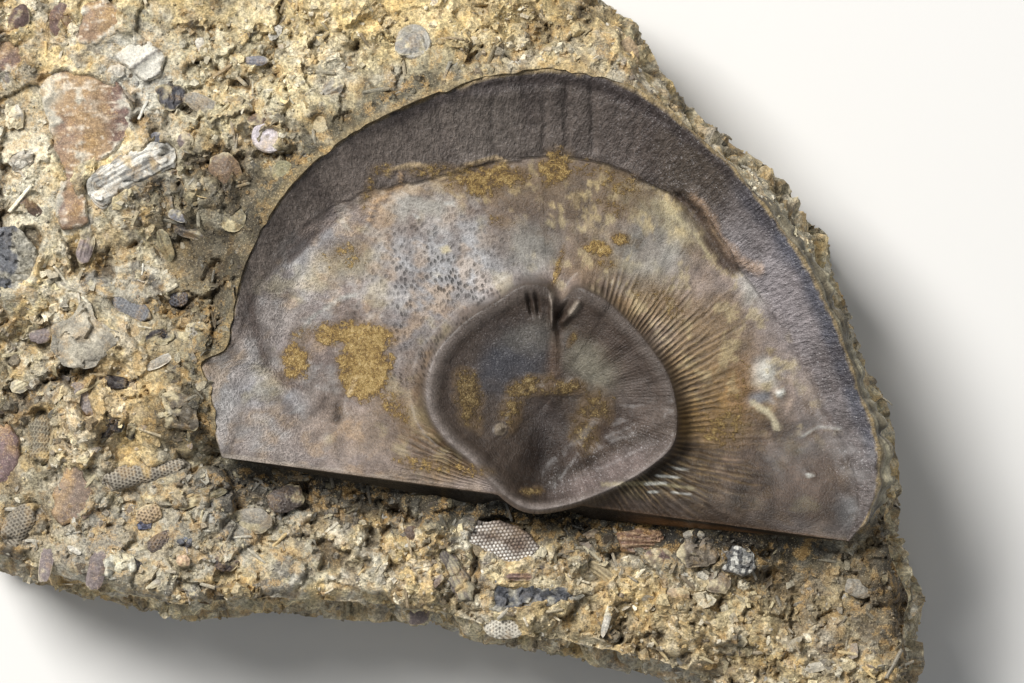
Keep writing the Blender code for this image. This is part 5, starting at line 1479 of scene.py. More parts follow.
def make_plate(name, outline, proud, crown, turn, look):
    """A flat or crowned fossil whose foot is sunk in the slab."""
    corners = np.array(outline, float)
    centre = corners.mean(axis=0)
    is_round = len(outline) > 20
    rough_proud = 0.45 * proud + float(rock_height(*centre) - rock_level(*centre))
    spacing = LATTICE_SPACING if name in ("bryozoan_fan", "rock_chip_granular") or is_round else PLATE_SPACING
    perimeter = np.hypot(*(np.roll(corners, -1, axis=0) - corners).T).sum()
    loop = evenly(corners, max(24, int(perimeter / spacing)))
    area = (loop[:, 0] * np.roll(loop[:, 1], -1) - loop[:, 1] * np.roll(loop[:, 0], -1)).sum()
    if area < 0:
        loop = loop[::-1]
    if not is_round:
        for _ in range(2):
            loop = 0.5 * loop + 0.25 * (np.roll(loop, 1, axis=0) + np.roll(loop, -1, axis=0))
    chips = 0.03 if is_round else 0.17
    loop = loop + outwards_of(loop) * (chips * rough(*loop.T, 1.0, 671))[:, None]
    inner = scattered(loop.min(axis=0), loop.max(axis=0), spacing, 672)
    path = [tuple(point) for point in loop]
    clearance = polygon_clearance(*inner.T, path)
    inner = inner[clearance < -0.55 * spacing]
    flat = np.vstack((loop, inner))
    edge = np.concatenate((np.zeros(len(loop)), -clearance[clearance < -0.55 * spacing]))
    faces = filled(flat, [np.arange(len(loop))], lambda x, y: polygon_clearance(x, y, path) < 0)
    x, y = flat.T
    cosine, sine = math.cos(math.radians(turn)), math.sin(math.radians(turn))
    s, t = (x - centre[0]) * cosine + (y - centre[1]) * sine, (y - centre[1]) * cosine - (x - centre[0]) * sine
    relief, tint, dust = plate_surface(name, x, y, s, t, edge)
    dome = 1 - (1 - np.clip(edge / edge.max(), 0, 1)) ** 2
    rounding = 0.1 * (1 - smoothstep(0, 0.12, edge))
    wave = 0 if is_round else 0.14 * rough(x, y, 2.4, 674)
    height = rock_level(x, y) + rough_proud + 0.6 * crown * dome - rounding + (relief + wave) * smoothstep(0, 0.12,
        edge)
    points = [np.column_stack((flat, height))]
    count = len(loop)
    outward = outwards_of(loop)
    for inset, drop in ((0.02, 0.2), (0.0, 0.45), (0.05, 1.0)):
        ring = loop - outward * (inset - 0.04 * bumps(*loop.T, 0.5, 673))[:, None]
        points.append(np.column_stack((ring, height[:count] - drop)))
    first = len(flat)
    cap = (first + 2 * count + np.arange(count))[::-1][None, :]
    # The sides take the top's colour at 0.8: painted shade.
    side_tint = np.tile(tint[:count] * 0.8, (3, 1))
    fields = {"tint": np.vstack((tint, side_tint)), "dust": np.concatenate((dust, np.tile(dust[:count], 3)))}
    faces = [faces, np.vstack((band_faces(0, first, count), ring_faces(3, count, first))), cap]
    return make_mesh(name + "_piece", np.vstack(points), faces, look, fields, sharp=48)


BRANCH_LOOKS = {
    "bryozoan_branch_pale": ("fibres", (206, 203, 194), (104, 102, 98)),
    "bryozoan_knob": ("pits", (122, 122, 124), (66, 66, 68)),
    "bryozoan_stub": ("pits", (140, 131, 127), (84, 76, 72)),
    "bryozoan_upright": ("net", (152, 144, 124), (78, 70, 58)),
    "bryozoan_long": ("pores", (152, 144, 130), (62, 54, 46)),
    "bryozoan_low": ("pores", (138, 130, 116), (64, 56, 46)),
    "bryozoan_stick": ("fibres", (150, 142, 120), (96, 88, 86)),
    "bryozoan_twig": ("ribs", (176, 160, 126), (104, 90, 66)),
}


def branch_relief(kind, s, around):
    """(height, share of dark) over a branch: s along it and around in millimetres of its girth."""
    if kind == "pores":
        depth = pores(s, around, PORE_PITCH)
        return -0.08 * depth, 0.85 * depth
    if kind == "pits":
        depth = pores(s, around, 0.24)
        return -0.035 * depth + 0.05 * rough(s, around, 0.8, 681), 0.5 * depth
    if kind == "net":
        zigzag = np.abs(((around + 0.06 * np.sin(s * 2 * math.pi / NET_PITCH)) / 0.24) % 1 - 0.5) * 2
        cross = np.abs((s / NET_PITCH) % 1 - 0.5) * 2
        ridge = np.maximum(smoothstep(0.5, 0.95, zigzag), 0.8 * smoothstep(0.7, 1.0, cross))
        return 0.1 * ridge - 0.05 + 0.05 * rough(s, around, 0.7, 684), 0.85 * (1 - ridge)
    if kind == "ribs":
        ridge = 0.5 + 0.5 * np.cos(around * 2 * math.pi / 0.3)
        return 0.08 * ridge, 0.7 * (1 - ridge)
    lines = bumps(s / 1.6, around / 0.1, 1, 687)
    broken, _, number = tilted(s, around, 0.8, 688, 0.22, 0.07)
    return 0.05 * lines + broken, np.clip(0.7 * smoothstep(0.1, -0.6, lines) + 0.6 * (number > 0.8), 0, 1)


def make_branch(name, start, end, radius, look):
    """A branch with blunt broken ends, half sunk in the slab."""
    kind, pale, dark = BRANCH_LOOKS[name]
    start, end = np.array(start), np.array(end)
    length = math.dist(start, end)
    ahead = (end - start) / length
    aside = np.array((-ahead[1], ahead[0]))
    axis_height = float(rock_height(*((start + end) / 2))) - BRANCH_SUNK
    upper = int(math.pi * 1.15 * radius / LATTICE_SPACING)
    above = np.linspace(-0.12 * math.pi, 1.12 * math.pi, upper, endpoint=False)
    below = np.linspace(1.12 * math.pi, 1.88 * math.pi, max(6, upper // 5), endpoint=False)
    turns = np.concatenate((above, below))
    reach = 0.6 * radius
    runs = np.linspace(-reach, length + reach, int((length + 2 * reach) / LATTICE_SPACING))
    run, turn = np.meshgrid(runs, turns, indexing="ij")
    girth = turn * radius
    ragged = 0.4 * radius * (1 + bumps(girth, 0 * run, 0.9, 690) + 0.5 * bumps(girth, run, 0.35, 692))
    near_end = np.clip((np.minimum(run + reach, length + reach - run) - ragged) / (0.45 * radius), 0, 1)
    blunt = np.maximum((1 - (1 - near_end) ** 2) ** 0.5, 0.12)
    taper = 1 - 0.22 * smoothstep(0.5, 1.0, run / length) * (name == "bryozoan_long")
    relief, shade = branch_relief(kind, run + 0.1 * bumps(run, girth, 1.0, 691), girth)
    wobble = 0.16 * radius * rough(run, girth, 1.7, 694, 4)
    size = radius * blunt * taper + (relief + wobble) * blunt
    sway = 0.12 * np.sin(run / length * math.pi) * (1 if kind == "pores" else 0.4)
    plan = start + ahead * run[..., None] + aside * (np.cos(turn) * size + sway)[..., None]
    height = axis_height + np.sin(turn) * size * BRANCH_SQUASH
    rings = np.concatenate((plan, height[..., None]), axis=-1)
    stations, around = run.shape
    tint = paint(plain(pale, run), dark, shade)
    tint = toned(tint, 0.2 * rough(run, girth, 0.9, 697))
    tint = paint(tint, OCHRE, 0.55 * patches(run, girth, 1.3, 700, 0.25, 0.6))
    points = np.vstack((rings.reshape(-1, 3), rings[0].mean(axis=0), rings[-1].mean(axis=0)))
    tint = np.vstack((tint.reshape(-1, 3), [linear(pale)] * 2))
    faces = tube_faces(stations, around, (stations * around, stations * around + 1))
    return make_mesh(name + "_piece", points, faces, look, {"tint": tint, "dust": np.full(len(points), 0.35)})


# --------------------------------------------------------------------------------------------------------------------
# The hash: thousands of flakes, sticks and crumbs in the rock.


def rock_places(count, rng, side, in_clay):
    """Random (position, outward normal, colour of the ground) on the slab's top, and a share of them on its sides."""
    low, high = np.array(SLAB_OUTLINE).min(axis=0), np.array(SLAB_OUTLINE).max(axis=0)
    spots = rng.uniform(low, high, (int(count * 4), 2))
    clear = valve_clearance(*spots.T)
    inside = polygon_clearance(*spots.T, SLAB_OUTLINE) < -0.9
    keep = inside & (clear > 0.15) & (rng.uniform(0, 1, len(spots)) < in_clay + (1 - in_clay)
                                      * rubble_share(*spots.T))
    for kind, shape, radius, _ in embedded_footprints():
        keep &= footprint_gap(*spots.T, kind, shape, radius) > -0.15
    for px, py, long, wide, *_ in BITS:
        keep &= np.hypot(*(spots - bit_place(px, py)).T) > 0.75 * math.sqrt(long * wide) / PHOTO_SCALE
    spots = spots[keep][:count]
    ground = rock_surface(*spots.T)[1]
    rings, outward, side_tints, mesh = side
    hits = [mesh.ray_cast((*(spot * METRES), RAY_START), (0, 0, -1)) for spot in spots]
    resting = np.array([tuple(place) for place, *_ in hits]) / METRES
    normal = np.array([tuple(facing) for _, facing, *_ in hits]) + (0, 0, 0.6)
    normal /= np.linalg.norm(normal, axis=1, keepdims=True)
    ring = rng.integers(2, len(rings) - 3, int(count * 0.3))
    step = rng.integers(0, rings.shape[1], len(ring))
    flank_normal = np.column_stack((outward[ring, step], np.full(len(ring), 0.2)))
    flank_normal /= np.linalg.norm(flank_normal, axis=1, keepdims=True)
    return (np.vstack((resting, rings[ring, step])), np.vstack((normal, flank_normal)),
            np.vstack((ground, side_tints[ring, step])))  # fmt: skip


def turned(normal, rng, lean):
    """Random frames (three axes each) whose last axis leans from the normal by about lean."""
    up = normal + lean * rng.normal(size=normal.shape)
    up /= np.linalg.norm(up, axis=1, keepdims=True)
    any_way = rng.normal(size=normal.shape)
    first = np.cross(any_way, up)
    first /= np.linalg.norm(first, axis=1, keepdims=True)
    return np.stack((first, np.cross(up, first), up), axis=1)


def clast_tints(rng, weights, ground, own):
    """A colour for each clast: a share of its own, and the rest that of the ground it lies in."""
    colours = np.array([linear(colour) for colour in (*CLAST_COLOURS, LILAC_GREY, (206, 204, 196))])
    picked = colours[rng.choice(len(colours), len(ground), p=np.array(weights) / sum(weights))]
    # Clasts take on the darkness of the ground they lie in: its own dark colour, and the painted shadow under the
    # hinge.
    picked = picked * rng.uniform(0.7, 1.2, (len(ground), 1)) * np.clip(ground.mean(axis=1, keepdims=True) / 0.3,
        0.35, 1.1)
    return mix(ground, picked, own * rng.uniform(0.3, 1.0, len(ground)))


def make_hash(name, template, faces, places, frames, sizes, tints, rng, look, shake):
    """One joined mesh of many copies of a small form, each with its own place, frame, size and colour."""
    count, corners = len(places), len(template)
    local = template[None] * sizes[:, None, :]
    local = local * (1 + shake * rng.uniform(-1, 1, (count, corners, 1)))
    points = places[:, None, :] + np.einsum("nki,nij->nkj", local, frames)
    points[..., 2] = np.clip(points[..., 2], 0.02, HASH_TOP)
    tint = tints[:, None, :] * rng.uniform(0.86, 1.12, (count, corners, 1))
    start = (np.arange(count) * corners)[:, None, None]
    groups = [(np.asarray(group)[None] + start).reshape(-1, np.shape(group)[1]) for group in faces]
    fields = {"tint": tint.reshape(-1, 3), "dust": np.repeat(rng.uniform(0, 0.8, count), corners)}
    return make_mesh(name, points.reshape(-1, 3), groups, look, fields, smooth=False)


def flake_form():
    """A thin curved chip with a ragged outline: its top, its rim and its underside."""
    turns = np.linspace(0, math.tau, 8, endpoint=False)
    ragged = np.array((1.0, 0.74, 0.95, 0.7, 0.9, 1.0, 0.66, 0.86))
    rim = np.stack((ragged * np.cos(turns), 0.8 * ragged * np.sin(turns)), axis=1)
    bow = -0.22 * rim[:, :1] ** 2
    top, bottom = np.hstack((rim, bow)), np.hstack((0.94 * rim, bow - 0.16))
    form = np.vstack((top, bottom, [(0, 0, 0.03), (0, 0, -0.16)]))
    return form, tube_faces(2, 8, (16, 17))


def stick_form():
    """A slightly bent rod with broken ends."""
    turns = np.linspace(0, math.tau, 7, endpoint=False)
    rings = []
    for along, wide in ((-1, 0.75), (-0.94, 0.97), (-0.3, 1.0), (0.35, 0.92), (0.95, 0.86), (1.0, 0.6)):
        aside, up = wide * np.cos(turns), wide * np.sin(turns) - 0.35 * along**2
        rings.append(np.stack((np.full(7, along), aside, up), axis=1))
    form = np.vstack((*rings, [(-1.0, 0, -0.3), (1.0, 0, -0.3)]))
    return form, tube_faces(6, 7, (42, 43))


def crumb_form():
    """A knobbly grain."""
    golden = (1 + 5**0.5) / 2
    form = np.array([(a, b * golden, 0) for a in (-1, 1) for b in (-1, 1)]
                    + [(0, a, b * golden) for a in (-1, 1) for b in (-1, 1)]
                    + [(b * golden, 0, a) for a in (-1, 1) for b in (-1, 1)]) / 1.9  # fmt: skip
    near = [(i, j, k) for i in range(12) for j in range(i + 1, 12) for k in range(j + 1, 12)
            if max(math.dist(form[i], form[j]), math.dist(form[j], form[k]),
                   math.dist(form[i], form[k])) < 1.2]  # fmt: skip
    faces = [(i, j, k) if np.dot(np.cross(form[j] - form[i], form[k] - form[i]), form[i]) > 0 else (i, k, j)
             for i, j, k in near]  # fmt: skip
    return form, [np.array(faces)]


def block_form():
    """An angular chip of rock."""
    corners = ((-1, -0.8), (0.2, -1), (1, -0.3), (0.8, 0.7), (-0.3, 1), (-1, 0.4))
    form = np.array([(x, y, z) for z in (-0.6, 0.6) for x, y in corners])
    form[6:, :2] *= 0.72
    return form, [ring_faces(2, 6), np.array([(5, 4, 3, 2, 1, 0), (6, 7, 8, 9, 10, 11)])]


# How common each of the clasts' ten colours is.
HASH_WEIGHTS = (3, 3, 1, 4, 3, 2, 3, 2, 2, 2)
CRUMB_WEIGHTS = (5, 4, 3, 2, 2, 1, 1, 1, 1, 1)
HASH_SEED, BITS_SEED = 811, 805


def bit_place(px, py):
    """Where a point of the photo lies on the slab."""
    return np.array(((px - PHOTO_MIDDLE[0]) / PHOTO_SCALE, (PHOTO_MIDDLE[1] - py) / PHOTO_SCALE))


def make_bits(look, rng, mesh):
    """The smaller fossils and chips, half sunk in the rock, as one mesh."""
    share, turn = np.meshgrid(np.linspace(0.12, 1, 13), np.linspace(0, math.tau, 44, endpoint=False), indexing="ij")
    rings, around = share.shape
    last = (rings + 1) * around
    base = tube_faces(rings + 1, around, (last, last + 1))
    points, faces, tints, start = [], [], [], 0
    for number, (px, py, long, wide, way, colour, kind) in enumerate(BITS):
        centre, long, wide = bit_place(px, py), long / PHOTO_SCALE, wide / PHOTO_SCALE
        cosine, sine = math.cos(math.radians(way)), math.sin(math.radians(way))
        ragged = rough(2 * np.cos(turn) + 7 * number, 2 * np.sin(turn), 1.3, 901)
        out = 1 + (0.28 if kind == "chip" else 0.16) * ragged
        s = long * share * out * np.sign(np.cos(turn)) * np.abs(np.cos(turn)) ** 0.8
        t = wide * share * out * np.sign(np.sin(turn)) * np.abs(np.sin(turn)) ** 0.8
        x, y = centre[0] + s * cosine - t * sine, centre[1] + s * sine + t * cosine
        grain = rough(x, y, 0.5, 904)
        if kind == "net":
            ridge = 1 - pores(s, t, 0.24)
            relief, shade = 0.07 * ridge + 0.05 * grain, 0.8 * (1 - ridge)
        elif kind == "fibre":
            lines = bumps(s / 1.6 + number, t / 0.12, 1, 907)
            relief, shade = 0.05 * lines + 0.06 * grain, 0.55 * smoothstep(0.2, -0.6, lines)
        elif kind == "chip":
            facet, _, number_of = tilted(x, y, 0.42, 908, 0.45, 0.05)
            relief, shade = facet + 0.12 * grain, 0.6 * number_of
        else:
            lines = np.sin(np.hypot(s + 0.8 * long, t) * math.tau / 0.26 + 2 * grain)
            relief, shade = 0.012 * lines + 0.07 * grain, 0.15 + 0.12 * lines + 0.25 * smoothstep(0.0, 0.5, grain)
        thick = min(long, wide)
        lean = 0.25 * rng.uniform(-1, 1, 2)
        own = float(rock_height(*centre))
        spots = np.vstack(([centre], np.column_stack((x[-1, ::11], y[-1, ::11]))))
        hits = [mesh.ray_cast((*(spot * METRES), RAY_START), (0, 0, -1))[0] for spot in spots]
        ground = np.median([hit.z / METRES for hit in hits if hit is not None])
        level = rock_level(x, y) + own - float(rock_level(*centre)) + min(0.0, ground + 0.15 - own)
        height = level + 0.12 + 0.28 * thick * (1 - share**2) + lean[0] * s + lean[1] * t + relief * (share < 0.99)
        foot = np.column_stack((centre[0] + (x[-1] - centre[0]) * 0.9, centre[1] + (y[-1] - centre[1]) * 0.9,
                                height[-1] - 0.5))  # fmt: skip
        grid = np.stack((x, y, height), axis=-1).reshape(-1, 3)
        block = np.vstack((grid, foot, (*centre, float(height[0].mean())), (*centre, float(foot[:, 2].mean()))))
        tint = paint(plain(colour, x), (58, 48, 40), shade) * (1 + 0.25 * grain)[..., None]
        crust = smoothstep(0.15, 0.55, rough(x, y, 0.9, 911) + 0.3 * smoothstep(0.85, 1.0, share))
        tint = paint(tint, CREAM, 0.5 * crust).reshape(-1, 3)
        points.append(block)
        # The foot ring takes the rim's colour at 0.8: painted shade.
        tints.append(np.vstack((tint, tint[-around:] * 0.8, tint[:1], tint[:1])))
        faces += [part + start for part in base]
        start += len(block)
    points = np.vstack(points)
    fields = {"tint": np.vstack(tints), "dust": np.full(len(points), 0.3)}
    return make_mesh("hash_bits", points, faces, look, fields, sharp=50)


def make_all_hash(side, flake_look, stick_look, crumb_look):
    """The four joined meshes of the hash. Each draws from the same random numbers, so their order stays."""
    rng = np.random.default_rng(HASH_SEED)

    def flake_sizes(count):
        size = 0.14 + 0.75 * rng.beta(1.1, 4.2, count)
        wide, thick = rng.uniform(0.4, 1.0, count), rng.uniform(0.5, 1.1, count)
        return size, np.stack((size, size * wide, np.minimum(size, 0.35) * thick), axis=1)

    def stick_sizes(count):
        width = rng.uniform(0.05, 0.14, count)
        return width, np.stack((width * rng.uniform(3, 8, count), width, width), axis=1)

    def block_sizes(count):
        size = 0.14 + 0.5 * rng.beta(1.1, 3.4, count)
        return size, size[:, None] * rng.uniform(0.6, 1.2, (count, 3))

    def crumb_sizes(count):
        size = 0.04 + 0.2 * rng.beta(1.2, 4.5, count)
        return size, size[:, None] * rng.uniform(0.65, 1.2, (count, 3))

    # Name, form, number of them, share of them in clay, sizes, share of the size they are lifted by, lean, weights of
    # the colours, share of a colour of their own, look, shake of the points.
    kinds = (
        ("hash_flakes", flake_form, 1900, 0.12, flake_sizes, 0, 0.32, HASH_WEIGHTS, 0.8, flake_look, 0.2),
        ("hash_sticks", stick_form, 260, 0.3, stick_sizes, 0.2, 0.16, HASH_WEIGHTS, 0.7, stick_look, 0.1),
        ("hash_blocks", block_form, 900, 0.12, block_sizes, -0.25, 0.6, HASH_WEIGHTS, 0.55, crumb_look, 0.22),
        ("hash_crumbs", crumb_form, 4200, 0.3, crumb_sizes, 0.1, 1.0, CRUMB_WEIGHTS, 0.6, crumb_look, 0.2),
    )
    made = []
    for name, form, most, in_clay, sizes_of, lift, lean, weights, own, look, shake in kinds:
        places, normals, ground = rock_places(most, rng, side, in_clay)
        size, sizes = sizes_of(len(places))
        places = places + (lift * size)[:, None] * normals
        frames = turned(normals, rng, lean)
        tints = clast_tints(rng, weights, ground, own)
        made.append(make_hash(name, *form(), places, frames, sizes, tints, rng, look, shake))
    return made


# --------------------------------------------------------------------------------------------------------------------
# Node trees.


class Shading:
    """A Principled material and short ways to add nodes to it."""

    def __init__(self, name, roughness=0.8):
        self.material = bpy.data.materials.new(name)
        self.material.use_nodes = True
        self.tree = self.material.node_tree
        self.shader = self.tree.nodes["Principled BSDF"]
        self.shader.inputs["Roughness"].default_value = roughness
        place = self.tree.nodes.new("ShaderNodeTexCoord")
        self.millimetres = self.scaled(place.outputs["Object"], 1 / METRES)

    def add(self, kind, inputs=None, output=0, **settings):
        """A new node's output. Inputs are numbers or other nodes' outputs, by name or index."""
        node = self.tree.nodes.new(kind)
        for key, value in settings.items():
            setattr(node, key, value)
        for key, value in (inputs or {}).items():
            if isinstance(value, bpy.types.NodeSocket):
                self.tree.links.new(value, node.inputs[key])
            else:
                node.inputs[key].default_value = value
        return node.outputs[output]

    def field(self, name, output="Fac"):
        node = self.tree.nodes.new("ShaderNodeAttribute")
        node.attribute_name = name
        return node.outputs[output]

    def noise(self, scale, detail=2.0, vector=None, roughness=0.6):
        return self.add("ShaderNodeTexNoise",
                        {"Vector": vector or self.millimetres, "Scale": scale, "Detail": detail,
                         "Roughness": roughness})

    def ranged(self, value, low, high, to_low=0.0, to_high=1.0, smooth=True):
        kind = "SMOOTHSTEP" if smooth else "LINEAR"
        return self.add("ShaderNodeMapRange", {0: value, 1: low, 2: high, 3: to_low, 4: to_high},
                        interpolation_type=kind)

    def maths(self, operation, first, second=0.0, third=0.0):
        return self.add("ShaderNodeMath", {0: first, 1: second, 2: third}, operation=operation)

    def times(self, first, second):
        return self.maths("MULTIPLY", first, second)

    def plus(self, first, second):
        return self.maths("ADD", first, second)

    def minus(self, first, second):
        return self.maths("SUBTRACT", first, second)

    def scaled(self, vector, factor):
        return self.add("ShaderNodeVectorMath", {0: vector, 3: factor}, operation="SCALE")

    def mixed(self, share, first, second):
        return self.add("ShaderNodeMix", {0: share, 6: first, 7: second}, 2, data_type="RGBA", blend_type="MIX")

    def ramp(self, value, stops):
        node = self.tree.nodes.new("ShaderNodeValToRGB")
        self.tree.links.new(value, node.inputs[0])
        for index, (at, colour) in enumerate(stops):
            element = node.color_ramp.elements[index] if index < 2 else node.color_ramp.elements.new(at)
            element.position, element.color = at, (*linear(colour), 1)
        return node.outputs[0]

    def connect(self, colour, roughness, bump, distance):
        links, shader = self.tree.links, self.shader
        links.new(colour, shader.inputs["Base Color"])
        links.new(roughness, shader.inputs["Roughness"])
        relief = self.tree.nodes.new("ShaderNodeBump")
        relief.inputs["Distance"].default_value = distance * METRES
        links.new(bump, relief.inputs["Height"])
        links.new(relief.outputs[0], shader.inputs["Normal"])
        return self.material


def shell_look():
    """Satin shell: a pale net and dark dots, ribs and wrinkles, powdery ochre clay and small pale specks."""
    s = Shading("shell_interior")
    fine, finer, broad, patch = s.noise(7.5, 2), s.noise(17, 1), s.noise(1.6, 3), s.noise(0.8, 2)
    swirl = s.add("ShaderNodeTexNoise", {"Vector": s.millimetres, "Scale": 2.6, "Detail": 3.0}, 1)
    swirled = s.add("ShaderNodeVectorMath", {0: s.millimetres, 1: s.scaled(swirl, 0.6)}, operation="ADD")
    cells = s.add("ShaderNodeTexVoronoi", {"Vector": swirled, "Scale": 3.3}, feature="DISTANCE_TO_EDGE")
    spots = s.add("ShaderNodeTexVoronoi", {"Vector": s.field("run", "Vector"), "Scale": 2.1, "Randomness": 0.65},
                  feature="F1",
                  voronoi_dimensions="2D")  # fmt: skip
    net = s.times(s.ranged(cells, 0.0, 0.22, 1, 0), s.ranged(patch, 0.35, 0.6, 0.25, 1))
    dots = s.times(s.ranged(spots, 0.16, 0.42, 1, 0), s.ranged(patch, 0.38, 0.6, 1, 0.35))
    place = s.add("ShaderNodeSeparateXYZ", {0: s.field("run", "Vector")})
    phase = s.times(place, math.tau)
    bead = s.noise(1.5, 1, s.field("run", "Vector"))
    ribs = s.times(s.maths("SINE", phase), s.ranged(bead, 0.35, 0.65, 0.35, 1.1))
    wrinkles = s.noise(1.0, 2.0, s.field("run", "Vector"))
    wrinkle_share = s.ranged(wrinkles, 0.36, 0.64, -1, 1)
    tone = s.plus(1.0, s.times(s.times(s.field("net"), s.minus(net, 0.35)), 0.42))
    tone = s.minus(tone, s.times(s.times(s.field("dots"), s.minus(dots, 0.3)), 0.6))
    # The ribs and wrinkles are lighter on their crests and darker in their grooves, as their bump is: painted
    # highlight and shade.
    tone = s.plus(tone, s.times(s.times(s.field("ribs"), ribs), 0.24))
    tone = s.plus(tone, s.times(s.times(s.field("leather"), wrinkle_share), 0.19))
    tone = s.times(tone, s.ranged(fine, 0.34, 0.66, 0.86, 1.14))
    tone = s.times(tone, s.ranged(finer, 0.3, 0.7, 0.84, 1.16))
    tone = s.times(tone, s.ranged(broad, 0.3, 0.7, 0.88, 1.12))
    colour = s.scaled(s.field("tint", "Color"), tone)
    mottle = s.noise(2.4, 4)
    clay_edge = s.plus(s.field("dust"), s.ranged(mottle, 0.3, 0.7, -0.3, 0.3, False))
    clay_edge = s.plus(clay_edge, s.ranged(s.noise(9, 3), 0.3, 0.7, -0.14, 0.14, False))
    clay = s.ranged(clay_edge, 0.38, 0.72)
    clay_tone = s.plus(s.times(s.plus(fine, finer), 0.33), s.times(mottle, 0.34))
    clay_tone = s.plus(s.ranged(clay_tone, 0.36, 0.66, 0, 1, False), s.times(s.minus(clay_edge, 0.8), 0.4))
    clay_colour = s.ramp(clay_tone,
                         ((0.05, (112, 88, 56)), (0.35, (168, 136, 83)), (0.6, (208, 174, 108)),
                          (0.95, (238, 210, 152))))
    clay_colour = s.mixed(s.field("umber"), clay_colour,
                          s.ramp(clay_tone, ((0.05, (54, 42, 27)), (0.5, (112, 92, 60)), (0.95, (184, 162, 114)))))
    colour = s.mixed(s.times(clay, 0.9), colour, clay_colour)
    specks = s.times(s.ranged(s.noise(8.5, 3, roughness=0.75), 0.55, 0.68), s.field("speck"))
    specks = s.times(specks, s.ranged(broad, 0.38, 0.62, 0.25, 1))
    colour = s.mixed(s.times(specks, 0.6), colour, (*linear((192, 188, 188)), 1))
    roughness = s.ranged(s.plus(fine, clay), 0.3, 1.4, 0.3, 0.95, False)
    bump = s.plus(s.times(fine, 0.5), s.times(finer, 0.35))
    bump = s.plus(bump, s.times(s.times(net, s.field("net")), 0.22))
    bump = s.minus(bump, s.times(s.times(dots, s.field("dots")), 0.45))
    bump = s.plus(bump, s.times(s.times(ribs, s.field("ribs")), 0.4))
    bump = s.plus(bump, s.times(s.times(wrinkles, s.field("leather")), 1.6))
    bump = s.plus(bump, s.times(clay, s.ranged(finer, 0.3, 0.7, 0.3, 1.2)))
    s.shader.inputs["Specular IOR Level"].default_value = 0.28
    s.shader.inputs["Coat Weight"].default_value = 0.12
    s.shader.inputs["Coat Roughness"].default_value = 0.28
    return s.connect(colour, roughness, bump, 0.11)


def rock_look(name, grain=(0.6, 1.35), stain=0.4, bump_depth=0.12, roughness=(0.75, 0.98), pale=0.3):
    """Rough stone: grain, clay stains and pale crumbs over the colour that each point carries."""
    s = Shading(name)
    fine, finer, broad = s.noise(4.6, 3), s.noise(11, 2), s.noise(1.1, 3)
    shade = s.times(s.ranged(fine, 0.34, 0.68, *grain), s.ranged(finer, 0.3, 0.7, 0.8, 1.2))
    colour = s.scaled(s.field("tint", "Color"), shade)
    clay = s.times(s.ranged(s.plus(broad, s.times(finer, 0.35)), 0.66, 0.82),
                   s.ranged(s.field("dust"), 0.0, 0.5, 0.2 * stain, stain))  # fmt: skip
    colour = s.mixed(clay, colour, s.ramp(finer, ((0.3, (150, 108, 56)), (0.7, (222, 180, 104)))))
    crumbs = s.times(s.ranged(finer, 0.6, 0.7), pale)
    colour = s.mixed(crumbs, colour, (*linear((226, 216, 190)), 1))
    bump = s.plus(fine, s.times(finer, 0.5))
    return s.connect(colour, s.ranged(fine, 0.3, 0.7, *roughness, False), bump, bump_depth)


# --------------------------------------------------------------------------------------------------------------------
# Camera, light and floor: metres, degrees and watts.

CAMERA_PLACE = (0.00475, 0.00006, 0.4662)
SENSOR_WIDTH, FOCAL_LENGTH = 36, 253.1
CLIP_RANGE = (0.01, 20)
LIGHTS_AIM = (0.004, 0, 0.015)
WORLD_COLOUR, WORLD_STRENGTH = (0.9, 0.95, 1, 1), 0.17
FLOOR_HALF = 2000
FLOOR_COLOUR = (0.72, 0.71, 0.69, 1)

def area_light(name, azimuth, elevation, distance, size, watts, colour=(1, 1, 1)):
    """A square soft light that looks at the fossil from an azimuth (0 is +X, 90 is +Y) and elevation."""
    azimuth, elevation = math.radians(azimuth), math.radians(elevation)
    light = bpy.data.lights.new(name, "AREA")
    light.size, light.energy, light.color = size, watts, colour
    lamp = bpy.data.objects.new(name, light)
    flat = math.cos(elevation) * distance
    away = (flat * math.cos(azimuth), flat * math.sin(azimuth), math.sin(elevation) * distance)
    lamp.location = [aim + step for aim, step in zip(LIGHTS_AIM, away)]
    lamp.rotation_euler = (math.pi / 2 - elevation, 0, azimuth + math.pi / 2)
    bpy.context.scene.collection.objects.link(lamp)


def make_studio():
    camera = bpy.data.cameras.new("camera")
    camera.sensor_width, camera.lens = SENSOR_WIDTH, FOCAL_LENGTH
    camera.clip_start, camera.clip_end = CLIP_RANGE
    view = bpy.data.objects.new("camera", camera)
    view.location = CAMERA_PLACE
    bpy.context.scene.collection.objects.link(view)
    bpy.context.scene.camera = view

    area_light("key", 135, 50, 0.6, 0.24, 5.7, (1, 0.985, 0.96))
    area_light("fill", -40, 55, 0.7, 0.6, 0.7, (0.95, 0.97, 1))
    world = bpy.data.worlds.new("studio")
    world.use_nodes = True
    background = world.node_tree.nodes["Background"]
    background.inputs[0].default_value, background.inputs[1].default_value = WORLD_COLOUR, WORLD_STRENGTH
    bpy.context.scene.world = world
    bpy.context.scene.view_settings.view_transform = "Standard"

    corners = FLOOR_HALF * np.array([(-1, -1, 0), (1, -1, 0), (1, 1, 0), (-1, 1, 0)])
    floor = make_mesh("floor", corners, [np.array([(0, 1, 2, 3)])], floor_look(), {}, smooth=False)


def floor_look():
    s = Shading("floor_paper", 0.9)
    s.shader.inputs["Base Color"].default_value = FLOOR_COLOUR
    return s.material


